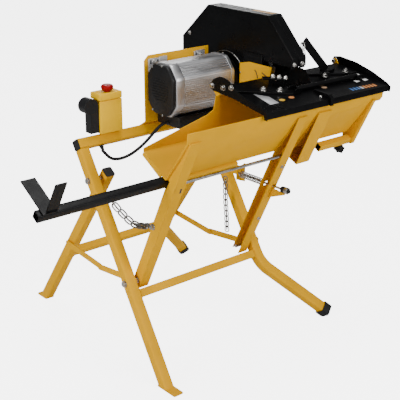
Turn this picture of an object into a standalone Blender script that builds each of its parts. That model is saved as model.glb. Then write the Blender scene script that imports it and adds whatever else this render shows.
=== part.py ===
"""Rocking log saw: a folding tube stand, a tilting log trough and a motor-driven blade in a hexagonal guard.

Metres, +Z up.  +X runs along the log, +Y from the operator to the blade.  Dimensions below are taken from
the outer foot of the front left leg: x from its outer face, y from its plate's front edge, z from the
ground.  Everything hangs on one empty that carries that point to the part's own origin, which lies on
the ground under the middle of the whole saw.
"""
from math import atan2, cos, pi, radians, sin, tan

import bmesh
import bpy
from mathutils import Matrix, Vector

# ---------------------------------------------------------------- driving dimensions
ORIGIN = Vector((0.23285, 0.39852, 0.0))   # the part's origin, seen from the front left foot
GAP = 0.0003                               # between faces that touch on the real saw
TUBE = 0.033                               # square frame tube
WALL = 0.002
CORNER = 0.005                             # outer corner radius of the square tubes
SHEET = 0.0025                             # folded sheet metal

LEAN = radians(32.07)                      # front legs, from vertical
REAR_LEAN = radians(35.9)                  # rear legs, from vertical, the other way
FRONT_FOOT_Y = 0.058                       # where the front legs' centre line meets the ground
TOP_BAR_Z = 0.6525
FOLD_Z = 0.5554                            # bolt where the front and rear legs cross
PIVOT_Z = 0.278                            # bolt that the rocker swings on
CROSSBAR_Z = 0.243
REAR_BAR_Z = 0.223
SPLAY = radians(41)                        # outward bend of the two right legs
SPLAY_Z = 0.213
SPLAY_RADIUS = 0.10
SPLAY_END_Z = 0.0225                       # middle of a splayed tube's end, inside its rubber foot
FOOT_T = 0.004
PAD_EDGE = 0.0005                          # pad beyond the tube at each side
CAP_T = 0.003

LEG_A_X = 0.0165                           # centre planes of the four legs
LEG_B_X = 0.0640
LEG_C_X = 0.5120
LEG_D_X = 0.4645
ROCKER_LEG_W = 0.0365
LEFT_ROCKER_X = 0.0450                     # web side of each rocker leg channel
RIGHT_ROCKER_X = 0.4860

BLADE_R = 0.200
BLADE_T = 0.0028
BLADE_X = 0.5580
TEETH = 40
AXIS_Y = 0.3800                            # blade and motor axis
AXIS_Z = 0.7980
GUARD_X0 = 0.5300
GUARD_X1 = 0.5860

TROUGH_X0 = 0.0360
TROUGH_X1 = 0.8250
SLOT_X0 = 0.5440                           # blade slot in the trough
SLOT_X1 = 0.5720
COVER_X0 = 0.3020
COVER_X1 = 0.8300
HINGE_Y = 0.1875                           # hold-down cover's hinge
HINGE_Z = 0.8420
ARM = 0.025                                # square tube of the log extension
STOP_BAR = 0.018                           # square tube of the length stop
STAY_W = 0.020
STAY_T = 0.003


def front_leg_y(z):
    return FRONT_FOOT_Y + z * tan(LEAN)


FOLD = Vector((0.0, front_leg_y(FOLD_Z), FOLD_Z))
PIVOT = Vector((0.0, front_leg_y(PIVOT_Z), PIVOT_Z))
TOP = Vector((0.0, front_leg_y(TOP_BAR_Z), TOP_BAR_Z))


def rear_leg_y(z):
    return FOLD.y + (FOLD.z - z) * tan(REAR_LEAN)


X = Vector((1, 0, 0))
Z = Vector((0, 0, 1))
UP_LEG = Vector((0, sin(LEAN), cos(LEAN)))           # up along a front leg
OFF_LEG = Vector((0, cos(LEAN), -sin(LEAN)))         # square to it, towards the blade
DOWN_REAR = Vector((0, sin(REAR_LEAN), -cos(REAR_LEAN)))

# trough section, inner face: lip, crease, crease, V, back corner, back edge
LIP = (-0.0200, 0.7920)
CREASE = (-0.0160, 0.7640)
RIDGE = (0.0255, 0.7045)
VEE = (0.0760, 0.6410)
BACK_CORNER = (0.1730, 0.6990)
BACK_TOP = (0.1576, 0.8180)
FLOOR_TILT = atan2(BACK_CORNER[1] - VEE[1], BACK_CORNER[0] - VEE[0])
ARM_Y, ARM_Z = ARM_CENTRE = (0.0895, 0.6283)
GUIDE_Y = 0.0690
GUIDE_Z = 0.6160
ROD_X = 0.474                                        # return spring's rod
ROD_Z = 0.5150
KNOB_X = 0.7570


# ---------------------------------------------------------------- scene and materials
def clear_scene():
    for obj in list(bpy.data.objects):
        bpy.data.objects.remove(obj, do_unlink=True)


def material(name, colour, roughness, metallic):
    mat = bpy.data.materials.new(name)
    mat.use_nodes = True
    shader = mat.node_tree.nodes["Principled BSDF"]
    shader.inputs["Base Color"].default_value = (*colour, 1.0)
    shader.inputs["Roughness"].default_value = roughness
    shader.inputs["Metallic"].default_value = metallic
    return mat


clear_scene()
YELLOW = material("yellow_paint", (0.78, 0.48, 0.02), 0.40, 0.0)
BLACK = material("black_paint", (0.012, 0.012, 0.012), 0.35, 0.0)
PLASTIC = material("black_plastic", (0.015, 0.015, 0.017), 0.50, 0.0)
RUBBER = material("black_rubber", (0.018, 0.018, 0.018), 0.80, 0.0)
ALU = material("cast_aluminium", (0.62, 0.62, 0.62), 0.38, 1.0)
ZINC = material("zinc_plate", (0.60, 0.60, 0.58), 0.30, 1.0)
STEEL = material("blade_steel", (0.55, 0.56, 0.57), 0.28, 1.0)
SIGNAL_YELLOW = material("signal_yellow_plastic", (0.85, 0.62, 0.02), 0.35, 0.0)
RED = material("red_plastic", (0.60, 0.01, 0.01), 0.30, 0.0)


def empty(name, at, parent=None):
    """An empty on a joint's axis; `at` is measured from the front left foot."""
    obj = bpy.data.objects.new(name, None)
    bpy.context.scene.collection.objects.link(obj)
    obj["at"] = tuple(at)
    if parent:
        obj.parent = parent
        obj.location = Vector(at) - Vector(parent["at"])
    else:
        obj.location = Vector(at) - ORIGIN
    return obj


# ---------------------------------------------------------------- shapes
def circle(centre, radius, count, turn=0.0):
    """Points round a centre, as pairs."""
    steps = [turn + 2 * pi * i / count for i in range(count)]
    return [(centre[0] + radius * cos(a), centre[1] + radius * sin(a)) for a in steps]


def rounded(points, radius, steps=3):
    """A closed outline with every corner turned into an arc."""
    out = []
    for i, point in enumerate(points):
        corner = Vector(point)
        before = (Vector(points[i - 1]) - corner).normalized()
        after = (Vector(points[(i + 1) % len(points)]) - corner).normalized()
        half = before.angle(after) / 2
        reach = radius / tan(half)
        centre = corner + (before + after).normalized() * (radius / sin(half))
        start = corner + before * reach - centre
        end = corner + after * reach - centre
        for k in range(steps + 1):
            spoke = start.lerp(end, k / steps).normalized() * radius
            out.append(tuple(centre + spoke))
    return out


def square(size, radius=0.0, steps=3):
    h = size / 2
    corners = [(-h, -h), (h, -h), (h, h), (-h, h)]
    return rounded(corners, radius, steps) if radius else corners


def offset(points, distance, closed=False):
    """Points moved square to a path, to its right, with mitred corners."""
    out = []
    last = len(points) - 1
    for i, point in enumerate(points):
        here = Vector(point)
        ahead = Vector(points[(i + 1) % len(points)]) - here if closed or i < last else None
        behind = here - Vector(points[i - 1]) if closed or i > 0 else None
        runs = [v.normalized() for v in (behind, ahead) if v is not None]
        normals = [Vector((v.y, -v.x)) for v in runs]
        total = sum(normals, Vector((0, 0)))
        scale = distance * len(normals) / total.length_squared if len(normals) == 1 else (
            2 * distance / total.length_squared)
        out.append(tuple(here + total * scale))
    return out


def folded(points, thickness):
    """The closed section of a sheet folded along a path, with its thickness on the path's right."""
    return list(points) + offset(points, thickness)[::-1]


def loft(loops, cyclic=False):
    """A closed body through loops of equal point counts; cyclic joins the last loop to the first."""
    bm = bmesh.new()
    rows = [[bm.verts.new(p) for p in loop] for loop in loops]
    count = len(rows[0])
    pairs = list(zip(rows, rows[1:])) + ([(rows[-1], rows[0])] if cyclic else [])
    for low, high in pairs:
        for i in range(count):
            k = (i + 1) % count
            bm.faces.new((low[i], low[k], high[k], high[i]))
    if not cyclic:
        bm.faces.new(rows[0][::-1])
        bm.faces.new(rows[-1])
    bmesh.ops.recalc_face_normals(bm, faces=bm.faces)
    return bm


def place(points, axis, at):
    """Outline pairs put on a plane square to an axis: X takes (y, z), Y takes (x, z), Z takes (x, y)."""
    if axis == "X":
        return [(at, a, b) for a, b in points]
    if axis == "Y":
        return [(a, at, b) for a, b in points]
    return [(a, b, at) for a, b in points]


def prism(points, axis, low, high):
    return loft([place(points, axis, low), place(points, axis, high)])


def box(low, high):
    (x0, y0, z0), (x1, y1, z1) = low, high
    return prism([(x0, y0), (x1, y0), (x1, y1), (x0, y1)], "Z", z0, z1)


def disc(axis, centre, radius, low, high, count=24):
    return prism(circle(centre, radius, count), axis, low, high)


def ring(axis, centre, outer, inner, low, high, count=24):
    """A flat ring or a sleeve."""
    out, hole = circle(centre, outer, count), circle(centre, inner, count)
    loops = [place(out, axis, low), place(out, axis, high), place(hole, axis, high), place(hole, axis, low)]
    return loft(loops, cyclic=True)


def turned(axis, centre, profile, count=24):
    """A solid of revolution; the profile lists (place along the axis, radius)."""
    return loft([place(circle(centre, radius, count), axis, at) for at, radius in profile])


HEAD_T = 0.006
WASHER_T = 0.0015


def bolt(centre, head_at, tip_at, across, shank):
    """A hexagon bolt along X with a washer under its head."""
    way = 1 if tip_at > head_at else -1
    under_head, under_washer = head_at + way * HEAD_T, head_at + way * (HEAD_T + WASHER_T)
    angles = [2 * pi * i / 24 for i in range(24)]
    reach = [across / 2 * hex_reach(a) for a in angles]
    hexagon = [(centre[0] + r * cos(a), centre[1] + r * sin(a)) for r, a in zip(reach, angles)]
    washer, thin = circle(centre, across * 0.66, 24), circle(centre, shank / 2, 24)
    loops = [(hexagon, head_at), (hexagon, under_head), (washer, under_head), (washer, under_washer),
             (thin, under_washer), (thin, tip_at)]
    return loft([place(loop, "X", x) for loop, x in loops])


def hex_reach(angle):
    """Distance from a unit hexagon's centre to its edge."""
    sixth = (angle + pi / 6) % (pi / 3) - pi / 6
    return 1.0 / cos(sixth)


def sweep(path, side, section, first_normal=None, last_normal=None):
    """Loops of a section carried along a path, mitred at its bends; `side` is square to the whole path."""
    path = [Vector(p) for p in path]
    runs = [(b - a).normalized() for a, b in zip(path, path[1:])]
    loops = []
    for i, point in enumerate(path):
        run = runs[max(i - 1, 0)]
        if i == 0:
            normal = Vector(first_normal) if first_normal else run
        elif i == len(path) - 1:
            normal = Vector(last_normal) if last_normal else run
        else:
            normal = (runs[i - 1] + runs[i]).normalized()
        up = run.cross(side).normalized()
        loop = []
        for a, b in section:
            spot = a * side + b * up
            slide = -spot.dot(normal) / run.dot(normal)
            loop.append(point + spot + run * slide)
        loops.append(loop)
    return loops


def square_tube(path, side, size, wall=WALL, radius=CORNER, **ends):
    """A hollow square tube, open at both ends."""
    outer = sweep(path, side, square(size, radius), **ends)
    inner = sweep(path, side, square(size - 2 * wall, max(radius - wall, 0.001)), **ends)
    return loft(outer + inner[::-1], cyclic=True)


def bend(start, before, after, radius, steps=6):
    """Points of an arc that leads from one direction into another, round the corner `start`."""
    before, after = Vector(before).normalized(), Vector(after).normalized()
    turn = before.angle(after)
    reach = radius * tan(turn / 2)
    centre = Vector(start) + (after - before).normalized() * (radius / cos(turn / 2))
    first = Vector(start) - before * reach - centre
    last = Vector(start) + after * reach - centre
    spokes = [(first * sin((1 - k / steps) * turn) + last * sin(k / steps * turn)) / sin(turn)
              for k in range(steps + 1)]
    return [centre + s for s in spokes]


# ---------------------------------------------------------------- nodes
def node(name, bm, mat, body, sharp=35):
    """A named object whose origin is its body's empty."""
    bmesh.ops.recalc_face_normals(bm, faces=bm.faces)
    mesh = bpy.data.meshes.new(name)
    bm.to_mesh(mesh)
    bm.free()
    mesh.transform(Matrix.Translation(-Vector(body["at"])))
    mesh.materials.append(mat)
    mesh.shade_smooth()
    mesh.set_sharp_from_angle(angle=radians(sharp))
    obj = bpy.data.objects.new(name, mesh)
    bpy.context.scene.collection.objects.link(obj)
    obj.parent = body
    return obj


def shape(obj, bm, operation="DIFFERENCE"):
    """Cuts a shape from an object, or joins it on, with a hidden guide object."""
    guide = node(f"{obj.name}_guide_{len(obj.modifiers)}", bm, obj.data.materials[0], obj.parent)
    guide.hide_render = True
    guide.display_type = "WIRE"
    modifier = obj.modifiers.new(operation.lower(), "BOOLEAN")
    modifier.operation = operation
    modifier.object = guide
    modifier.solver = "EXACT"


def soften(obj, width, segments=2):
    modifier = obj.modifiers.new("edges", "BEVEL")
    modifier.width = width
    modifier.segments = segments
    modifier.limit_method = "ANGLE"
    modifier.angle_limit = radians(40)
    return obj


# ---------------------------------------------------------------- bodies
machine = empty("machine", (0, 0, 0))
rear_frame = empty("rear_frame_axis", (LEG_D_X, FOLD.y, FOLD.z), machine)
STAY_BOLT = Vector((0, rear_leg_y(0.275), 0.275))
STAY_MID = Vector((0, 0.4203, 0.2573))
front_stays = empty("front_stay_axis", (0, PIVOT.y, PIVOT.z), machine)
rear_stays = empty("rear_stay_axis", (0, STAY_MID.y, STAY_MID.z), front_stays)
rocker = empty("rocker_axis", (0, PIVOT.y, PIVOT.z), machine)
extension = empty("extension_axis", (0, ARM_Y, ARM_Z), rocker)
length_stop = empty("length_stop_axis", (0, GUIDE_Y, GUIDE_Z), rocker)
knob_turn = empty("knob_axis", (KNOB_X, GUIDE_Y, GUIDE_Z), rocker)
cover = empty("cover_axis", (0, HINGE_Y, HINGE_Z), rocker)
arbor = empty("arbor_axis", (0, AXIS_Y, AXIS_Z), machine)
SWITCH_LOW = (0.0750, 0.4400, 0.6775)
SWITCH_HIGH = (0.1570, 0.4860, 0.7800)
FLAP_HINGE = (0.0, 0.4835, 0.7865)
stop_flap = empty("stop_flap_axis", FLAP_HINGE, machine)
BUTTON = (0.112, 0.455)
stop_button = empty("stop_button_axis", (BUTTON[0], BUTTON[1], 0.806), stop_flap)


# ---------------------------------------------------------------- stand: front frame
def tube_cap(name, centre, along, side, body):
    """A plastic plug with a square head that closes a tube; `along` points out of the tube."""
    along = Vector(along)
    head, plug = square(TUBE - 0.0006, CORNER), square(TUBE - 2 * WALL - 0.001, CORNER - WALL)
    centre = Vector(centre)
    outside = sweep([centre + along * CAP_T, centre + along * GAP], side, head)
    inside = sweep([centre + along * GAP, centre - along * 0.014], side, plug)
    return node(name, loft(outside + inside), PLASTIC, body)


def straight_leg(name, x, top, foot_y, plate, body):
    """A tube cut level at its foot and welded to a flat steel pad; `plate` is the pad's reach along Y."""
    foot = Vector((x, foot_y, FOOT_T / 2))
    leg = node(name, square_tube([foot, (x, top.y, top.z)], X, TUBE, first_normal=Z), YELLOW, body)
    (y0, y1), half = plate, TUBE / 2 + PAD_EDGE
    plan = rounded([(x - half, y0), (x + half, y0), (x + half, y1), (x - half, y1)], 0.004, 2)
    shape(leg, prism(plan, "Z", 0, FOOT_T), "UNION")


def splayed_leg(name, x, top, down, knee, body):
    """A tube that bends outwards below its knee; returns its end and direction."""
    out = (down * cos(SPLAY) + X * sin(SPLAY)).normalized()
    side = down.cross(X).normalized()
    arc = bend(Vector((x, knee.y, knee.z)), down, out, SPLAY_RADIUS)
    end = arc[-1] + out * ((arc[-1].z - SPLAY_END_Z) / -out.z)
    node(name, square_tube([Vector((x, top.y, top.z)), *arc, end], side, TUBE), YELLOW, body)
    return end, out, side


def foot_cap(name, end, out, side, body):
    """A rubber cup over a splayed leg's end, cut level where it stands on the ground."""
    shell, socket = square(TUBE + 0.008, CORNER + 0.002), square(TUBE + 2 * GAP, CORNER)
    bottom, floor_, rim = end + out * 0.010, end + out * GAP, end - out * 0.018
    body_loops = sweep([bottom, rim], side, shell)
    pocket = sweep([floor_, rim], side, socket)
    obj = node(name, loft(body_loops + pocket[::-1]), RUBBER, body)
    shape(obj, box((end.x - 0.1, end.y - 0.1, -0.1), (end.x + 0.1, end.y + 0.1, 0)))


front_top = TOP - UP_LEG * (TUBE / 2 + GAP)
straight_leg("leg_front_left", LEG_A_X, front_top, front_leg_y(FOOT_T / 2), (0.0, 0.082), machine)
knee_front = Vector((0, front_leg_y(SPLAY_Z), SPLAY_Z))
front_end = splayed_leg("leg_front_right", LEG_C_X, TOP - UP_LEG * (TUBE / 2 + GAP), -UP_LEG, knee_front,
                        machine)
foot_cap("foot_cap_front_right", *front_end, machine)

TOP_BAR_X1 = 0.5255
top_bar_line = [(CAP_T, TOP.y, TOP.z), (TOP_BAR_X1, TOP.y, TOP.z)]
node("top_bar", square_tube(top_bar_line, OFF_LEG, TUBE), YELLOW, machine)
tube_cap("top_bar_cap_left", (CAP_T, TOP.y, TOP.z), -X, OFF_LEG, machine)

bar_left = (LEG_A_X + TUBE / 2 + GAP, front_leg_y(CROSSBAR_Z), CROSSBAR_Z)
bar_right = (LEG_C_X - TUBE / 2 - GAP, front_leg_y(CROSSBAR_Z), CROSSBAR_Z)
CROSS_TUBE = 0.026
node("front_crossbar", square_tube([bar_left, bar_right], OFF_LEG, CROSS_TUBE, radius=0.004), YELLOW, machine)

# ---------------------------------------------------------------- stand: folding rear frame
LEG_ABOVE_FOLD = 0.022
off_rear = Vector((0, cos(REAR_LEAN), sin(REAR_LEAN)))
rear_top = FOLD - DOWN_REAR * LEG_ABOVE_FOLD
rear_pad = (rear_leg_y(0) - 0.022, rear_leg_y(0) + 0.036)
straight_leg("leg_rear_left", LEG_B_X, rear_top, rear_leg_y(FOOT_T / 2), rear_pad, rear_frame)
knee_rear = Vector((0, rear_leg_y(SPLAY_Z), SPLAY_Z))
rear_end = splayed_leg("leg_rear_right", LEG_D_X, rear_top, DOWN_REAR, knee_rear, rear_frame)
foot_cap("foot_cap_rear_right", *rear_end, rear_frame)
tube_cap("rear_leg_cap_left", (LEG_B_X, rear_top.y, rear_top.z), -DOWN_REAR, X, rear_frame)
rear_bar = [(LEG_B_X + TUBE / 2 + GAP, rear_leg_y(REAR_BAR_Z), REAR_BAR_Z),
            (LEG_D_X - TUBE / 2 - GAP, rear_leg_y(REAR_BAR_Z), REAR_BAR_Z)]
node("rear_crossbar", square_tube(rear_bar, off_rear, CROSS_TUBE, radius=0.004), YELLOW, rear_frame)


def drill_x(name, centre, radius, x0, x1, count=16):
    """A round hole along X through a node."""
    shape(bpy.data.objects[name], disc("X", centre, radius, x0, x1, count))


BOLT_R = 0.005
for name, leg_x in (("leg_front_left", LEG_A_X), ("leg_front_right", LEG_C_X), ("leg_rear_left", LEG_B_X),
                    ("leg_rear_right", LEG_D_X)):
    drill_x(name, (FOLD.y, FOLD.z), BOLT_R + GAP, leg_x - TUBE, leg_x + TUBE)
for name, leg_x in (("leg_front_left", LEG_A_X), ("leg_front_right", LEG_C_X)):
    drill_x(name, (PIVOT.y, PIVOT.z), BOLT_R + GAP, leg_x - TUBE, leg_x + TUBE)

HEX = 0.016
A_FACE, C_FACE = LEG_A_X - TUBE / 2, LEG_C_X + TUBE / 2
LEFT_HEAD, RIGHT_HEAD = A_FACE - HEAD_T - WASHER_T - GAP, C_FACE + HEAD_T + WASHER_T + GAP
for bolt_name, at, head, tip in (("fold_bolt_left", FOLD, LEFT_HEAD, LEG_B_X + TUBE / 2 + 0.010),
                                 ("fold_bolt_right", FOLD, RIGHT_HEAD, LEG_D_X - TUBE / 2 - 0.010),
                                 ("rocker_bolt_left", PIVOT, LEFT_HEAD, LEFT_ROCKER_X + 0.012),
                                 ("rocker_bolt_right", PIVOT, RIGHT_HEAD, RIGHT_ROCKER_X - 0.045)):
    node(bolt_name, bolt((at.y, at.z), head, tip, HEX, 2 * BOLT_R), ZINC, machine)


# ---------------------------------------------------------------- stays between the frames
def half_round(centre, start, radius):
    """Seven points round half a circle about a 2-D centre, from the angle start."""
    angles = [start + pi * k / 6 for k in range(7)]
    return [centre + radius * Vector((cos(t), sin(t))) for t in angles]


def flat_link(x0, x1, start, end, reach=STAY_W / 2):
    """A flat bar with round ends along a line in the YZ plane."""
    a, b = Vector((start.y, start.z)), Vector((end.y, end.z))
    way = (b - a).normalized()
    angle = atan2(way.y, way.x)
    first = [tuple(p) for p in half_round(a, angle + pi / 2, reach)]
    second = [tuple(p) for p in half_round(b, angle - pi / 2, reach)]
    return prism(first + second, "X", x0, x1)


PIN_R = 0.004
front_x, rear_x, far = 0.0345, 0.0385, 0.0472        # left stays' faces and the end of their pin
for side_name in ("left", "right"):
    mirror = (lambda x: x) if side_name == "left" else (lambda x: LEG_A_X + LEG_C_X - x)
    lo, hi = sorted((mirror(front_x), mirror(front_x + STAY_T)))
    front = node(f"stay_front_{side_name}", flat_link(lo, hi, PIVOT, STAY_MID), YELLOW, front_stays)
    drill_x(front.name, (PIVOT.y, PIVOT.z), BOLT_R + GAP, lo - 0.01, hi + 0.01)
    rivet = sorted((mirror(front_x + STAY_T - 0.0005), mirror(rear_x + STAY_T + 0.0010)))
    shape(front, disc("X", (STAY_MID.y, STAY_MID.z), PIN_R, *rivet, 16), "UNION")
    lo, hi = sorted((mirror(rear_x), mirror(rear_x + STAY_T)))
    rear = node(f"stay_rear_{side_name}", flat_link(lo, hi, STAY_MID, STAY_BOLT), YELLOW, rear_stays)
    drill_x(rear.name, (STAY_MID.y, STAY_MID.z), PIN_R + GAP, lo - 0.01, hi + 0.01)
    pin = sorted((mirror(rear_x + STAY_T - 0.0005), mirror(far)))
    shape(rear, disc("X", (STAY_BOLT.y, STAY_BOLT.z), PIN_R, *pin, 16), "UNION")

# ---------------------------------------------------------------- rocker: legs
V_PATH = [LIP, CREASE, RIDGE, VEE, BACK_CORNER, BACK_TOP]
OUTER = offset(V_PATH, SHEET + 0.0004)               # just outside the trough's underside
LEG_TOP = (-0.0240, 0.7610)
LEG_FOOT = [(0.2279, 0.2512), (0.2565, 0.2654)]
under_vee = (OUTER[3][0] + 0.0022, OUTER[3][1] - 0.0030)
leg_outline = [*LEG_FOOT, under_vee, OUTER[3], OUTER[2], OUTER[1], LEG_TOP]


def channel(name, outline, web_x, open_x, open_foot=True):
    """A folded channel: a web at one side, flanges along its edges, open on the other side."""
    lo, hi = sorted((web_x, open_x))
    obj = node(name, prism(outline, "X", lo, hi), YELLOW, rocker)
    hollow = offset(outline, -SHEET, closed=True)
    if open_foot:
        drop = Vector((0.018, -0.036))
        hollow[0] = tuple(Vector(hollow[0]) + drop)
        hollow[1] = tuple(Vector(hollow[1]) + drop)
    way = 1 if open_x > web_x else -1
    lo, hi = sorted((web_x + way * SHEET, open_x + way * 0.01))
    shape(obj, prism(hollow, "X", lo, hi))
    return obj


def tilted(centre, along, up):
    """A point (y, z) given along and square to the trough's floor."""
    c, s = cos(FLOOR_TILT), sin(FLOOR_TILT)
    return (centre[0] + along * c - up * s, centre[1] + along * s + up * c)


def tilted_box(x0, x1, centre, low, high):
    """A bar along X whose section is square to the trough's floor."""
    (a0, u0), (a1, u1) = low, high
    corners = [(a0, u0), (a1, u0), (a1, u1), (a0, u1)]
    return prism([tilted(centre, a, u) for a, u in corners], "X", x0, x1)


def arm_hole(centre, size, x0, x1):
    """A cutter for a square hole that a tilted bar passes through."""
    return tilted_box(x0, x1, centre, (-size / 2, -size / 2), (size / 2, size / 2))


left_leg = channel("rocker_leg_left", leg_outline, LEFT_ROCKER_X, LEFT_ROCKER_X + ROCKER_LEG_W)
right_leg = channel("rocker_leg_right", leg_outline, RIGHT_ROCKER_X, RIGHT_ROCKER_X - ROCKER_LEG_W)
for leg, web_x in ((left_leg, LEFT_ROCKER_X), (right_leg, RIGHT_ROCKER_X)):
    drill_x(leg.name, (PIVOT.y, PIVOT.z), BOLT_R + GAP, web_x - 0.01, web_x + 0.01)
shape(left_leg, arm_hole(ARM_CENTRE, ARM + 0.004, LEFT_ROCKER_X - 0.01, LEFT_ROCKER_X + 0.06))
rod_slot = [(ROD_X - 0.007, ROD_Z - 0.008), (ROD_X + 0.007, ROD_Z - 0.008), (ROD_X + 0.007, ROD_Z + 0.008),
            (ROD_X - 0.007, ROD_Z + 0.008)]
shape(right_leg, prism(rod_slot, "Y", 0.0, 0.3))

# ---------------------------------------------------------------- rocker: trough
RIB_X0, RIB_X1 = 0.7740, 0.7890                      # the rib under the trough's right end
GUARD_GAP_X0, GUARD_GAP_X1, GUARD_GAP_Y = 0.5130, 0.6000, 0.0640
SLOT_TOP_Z = 0.7400                                  # above this the slot widens for the blade guard
LIP_ONLY_Z = 0.7500                                  # below this the trough ends at its rib
trough = node("trough", prism(folded(V_PATH, SHEET), "X", TROUGH_X0, TROUGH_X1), YELLOW, rocker)
LOW_BACK_X, STEP_X, LOW_BACK_Z = 0.262, 0.285, 0.765
back_cut = [(TROUGH_X0 - 0.01, BACK_CORNER[1] + 0.006), (LOW_BACK_X, LOW_BACK_Z),
            (STEP_X, LOW_BACK_Z + 0.012), (STEP_X + 0.008, 0.86), (TROUGH_X0 - 0.01, 0.86)]
shape(trough, prism(back_cut, "Y", BACK_TOP[0] - 0.03, BACK_CORNER[0] + 0.03))
shape(trough, box((SLOT_X0, 0.004, 0.60), (SLOT_X1, 0.25, 0.90)))
shape(trough, box((GUARD_GAP_X0, 0.10, SLOT_TOP_Z), (GUARD_GAP_X1, 0.25, 0.90)))
shape(trough, box((RIB_X1 + SHEET, -0.05, 0.55), (TROUGH_X1 + 0.01, 0.25, LIP_ONLY_Z)))

END_FLANGE = 0.016
floor_edge = [V_PATH[3], V_PATH[4]]
flange_face = [*floor_edge, offset(floor_edge, END_FLANGE)[1], offset(floor_edge, END_FLANGE)[0]]
shape(trough, prism(rounded(flange_face, 0.0012, 1), "X", TROUGH_X0, TROUGH_X0 + SHEET), "UNION")
shape(trough, arm_hole(ARM_CENTRE, ARM + 0.003, TROUGH_X0 - 0.01, TROUGH_X0 + 0.005))

POCKET_X0, POCKET_X1 = 0.5340, 0.5900
pocket_outline = [(0.0640, 0.5800), (0.1000, 0.5980), (0.1000, OUTER[3][1] + 0.0120),
                  OUTER[3], OUTER[2], OUTER[1], LEG_TOP]
channel("blade_pocket", pocket_outline, POCKET_X1, POCKET_X0, open_foot=False)
rib_outline = [(0.0560, 0.6020), (0.0930, 0.6020), (0.0950, OUTER[3][1] + 0.0090),
               OUTER[3], OUTER[2], OUTER[1], LEG_TOP]
rib = channel("end_rib", rib_outline, RIB_X0, RIB_X1, open_foot=False)
shape(rib, arm_hole((GUIDE_Y, GUIDE_Z), STOP_BAR + 0.001, RIB_X0 - 0.01, RIB_X1 + 0.01))

TIE_Y, TIE_Z = 0.052, 0.628
TIE_X0, TIE_X1 = LEFT_ROCKER_X + SHEET + GAP, RIGHT_ROCKER_X - SHEET - GAP
node("tie_rod", disc("X", (TIE_Y, TIE_Z), 0.005, TIE_X0, TIE_X1, 16), ZINC, rocker)

# ---------------------------------------------------------------- rocker: extension arm and length stop
floor_side = Vector((0, cos(FLOOR_TILT), sin(FLOOR_TILT)))
SLEEVE = ARM + 2 * 0.0004 + 2 * WALL
ARM_X0, ARM_X1 = -0.3655, 0.2000
socket_line = [(LEFT_ROCKER_X + ROCKER_LEG_W + 0.002, ARM_Y, ARM_Z), (0.300, ARM_Y, ARM_Z)]
node("extension_socket", square_tube(socket_line, floor_side, SLEEVE, radius=0.003), YELLOW, rocker)
arm_line = [(ARM_X0, ARM_Y, ARM_Z), (ARM_X1, ARM_Y, ARM_Z)]
node("extension_arm", square_tube(arm_line, floor_side, ARM, radius=0.003), BLACK, extension)
FORK_T = 0.004
FORK_ALONG, FORK_UP = 0.109, 0.117                   # reach of the two prongs from the arm's centre
FORK_FACE = ARM / 2 + 0.0006
flat_prong = tilted_box(ARM_X0 + 0.0110, ARM_X0 + 0.0540, ARM_CENTRE, (-ARM / 2, FORK_FACE),
                        (FORK_ALONG, FORK_FACE + FORK_T))
up_prong = tilted_box(ARM_X0 + 0.0230, ARM_X0 + 0.0570, ARM_CENTRE, (-0.0085, FORK_FACE + FORK_T / 2),
                      (-0.0085 + FORK_T, FORK_UP))
shape(node("extension_fork", flat_prong, BLACK, extension), up_prong, "UNION")

GUIDE_X0, GUIDE_X1 = 0.6330, RIB_X0 - GAP
GUIDE_SIZE = STOP_BAR + SLEEVE - ARM
guide_line = [(GUIDE_X0, GUIDE_Y, GUIDE_Z), (GUIDE_X1, GUIDE_Y, GUIDE_Z)]
guide = node("stop_guide", square_tube(guide_line, floor_side, GUIDE_SIZE, radius=0.003), YELLOW, rocker)
stop_line = [(GUIDE_X0 + 0.001, GUIDE_Y, GUIDE_Z), (GUIDE_X1 - 0.002, GUIDE_Y, GUIDE_Z)]
node("stop_bar", square_tube(stop_line, floor_side, STOP_BAR, radius=0.003), BLACK, length_stop)


def along_line(start, way, profile, count=20):
    """A turned solid along any line; the profile lists (distance, radius)."""
    way = Vector(way).normalized()
    u = way.cross(X).normalized()
    v = way.cross(u)
    loops = []
    for distance, radius in profile:
        ring_ = circle((0, 0), radius, count)
        loops.append([Vector(start) + way * distance + a * u + b * v for a, b in ring_])
    return loft(loops)


knob_way = Vector((0, sin(FLOOR_TILT), -cos(FLOOR_TILT)))
knob_start = Vector((KNOB_X, GUIDE_Y, GUIDE_Z))
shape(guide, along_line(knob_start, knob_way, [(STOP_BAR / 2 + 0.0002, 0.0045), (0.020, 0.0045)], 16))
STUD_R = 0.004
KNOB_R = 0.016
knob_profile = [(STOP_BAR / 2 + 0.0006, STUD_R), (0.0260, STUD_R), (0.0260, 0.008), (0.0320, 0.0095),
                (0.0340, KNOB_R), (0.0450, KNOB_R), (0.0470, KNOB_R - 0.003)]


def star_knob():
    """The knob's grip has six lobes; its neck and stud are round."""
    count = 36
    u = knob_way.cross(X).normalized()
    v = knob_way.cross(u)
    loops = []
    for distance, radius in knob_profile:
        lobes = 0.14 if radius > 0.012 else 0.0
        loop = []
        for i in range(count):
            a = 2 * pi * i / count
            r = radius * (1 + lobes * cos(6 * a))
            loop.append(knob_start + knob_way * distance + r * cos(a) * u + r * sin(a) * v)
        loops.append(loop)
    return loft(loops)


node("clamp_knob", star_knob(), PLASTIC, knob_turn)

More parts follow.
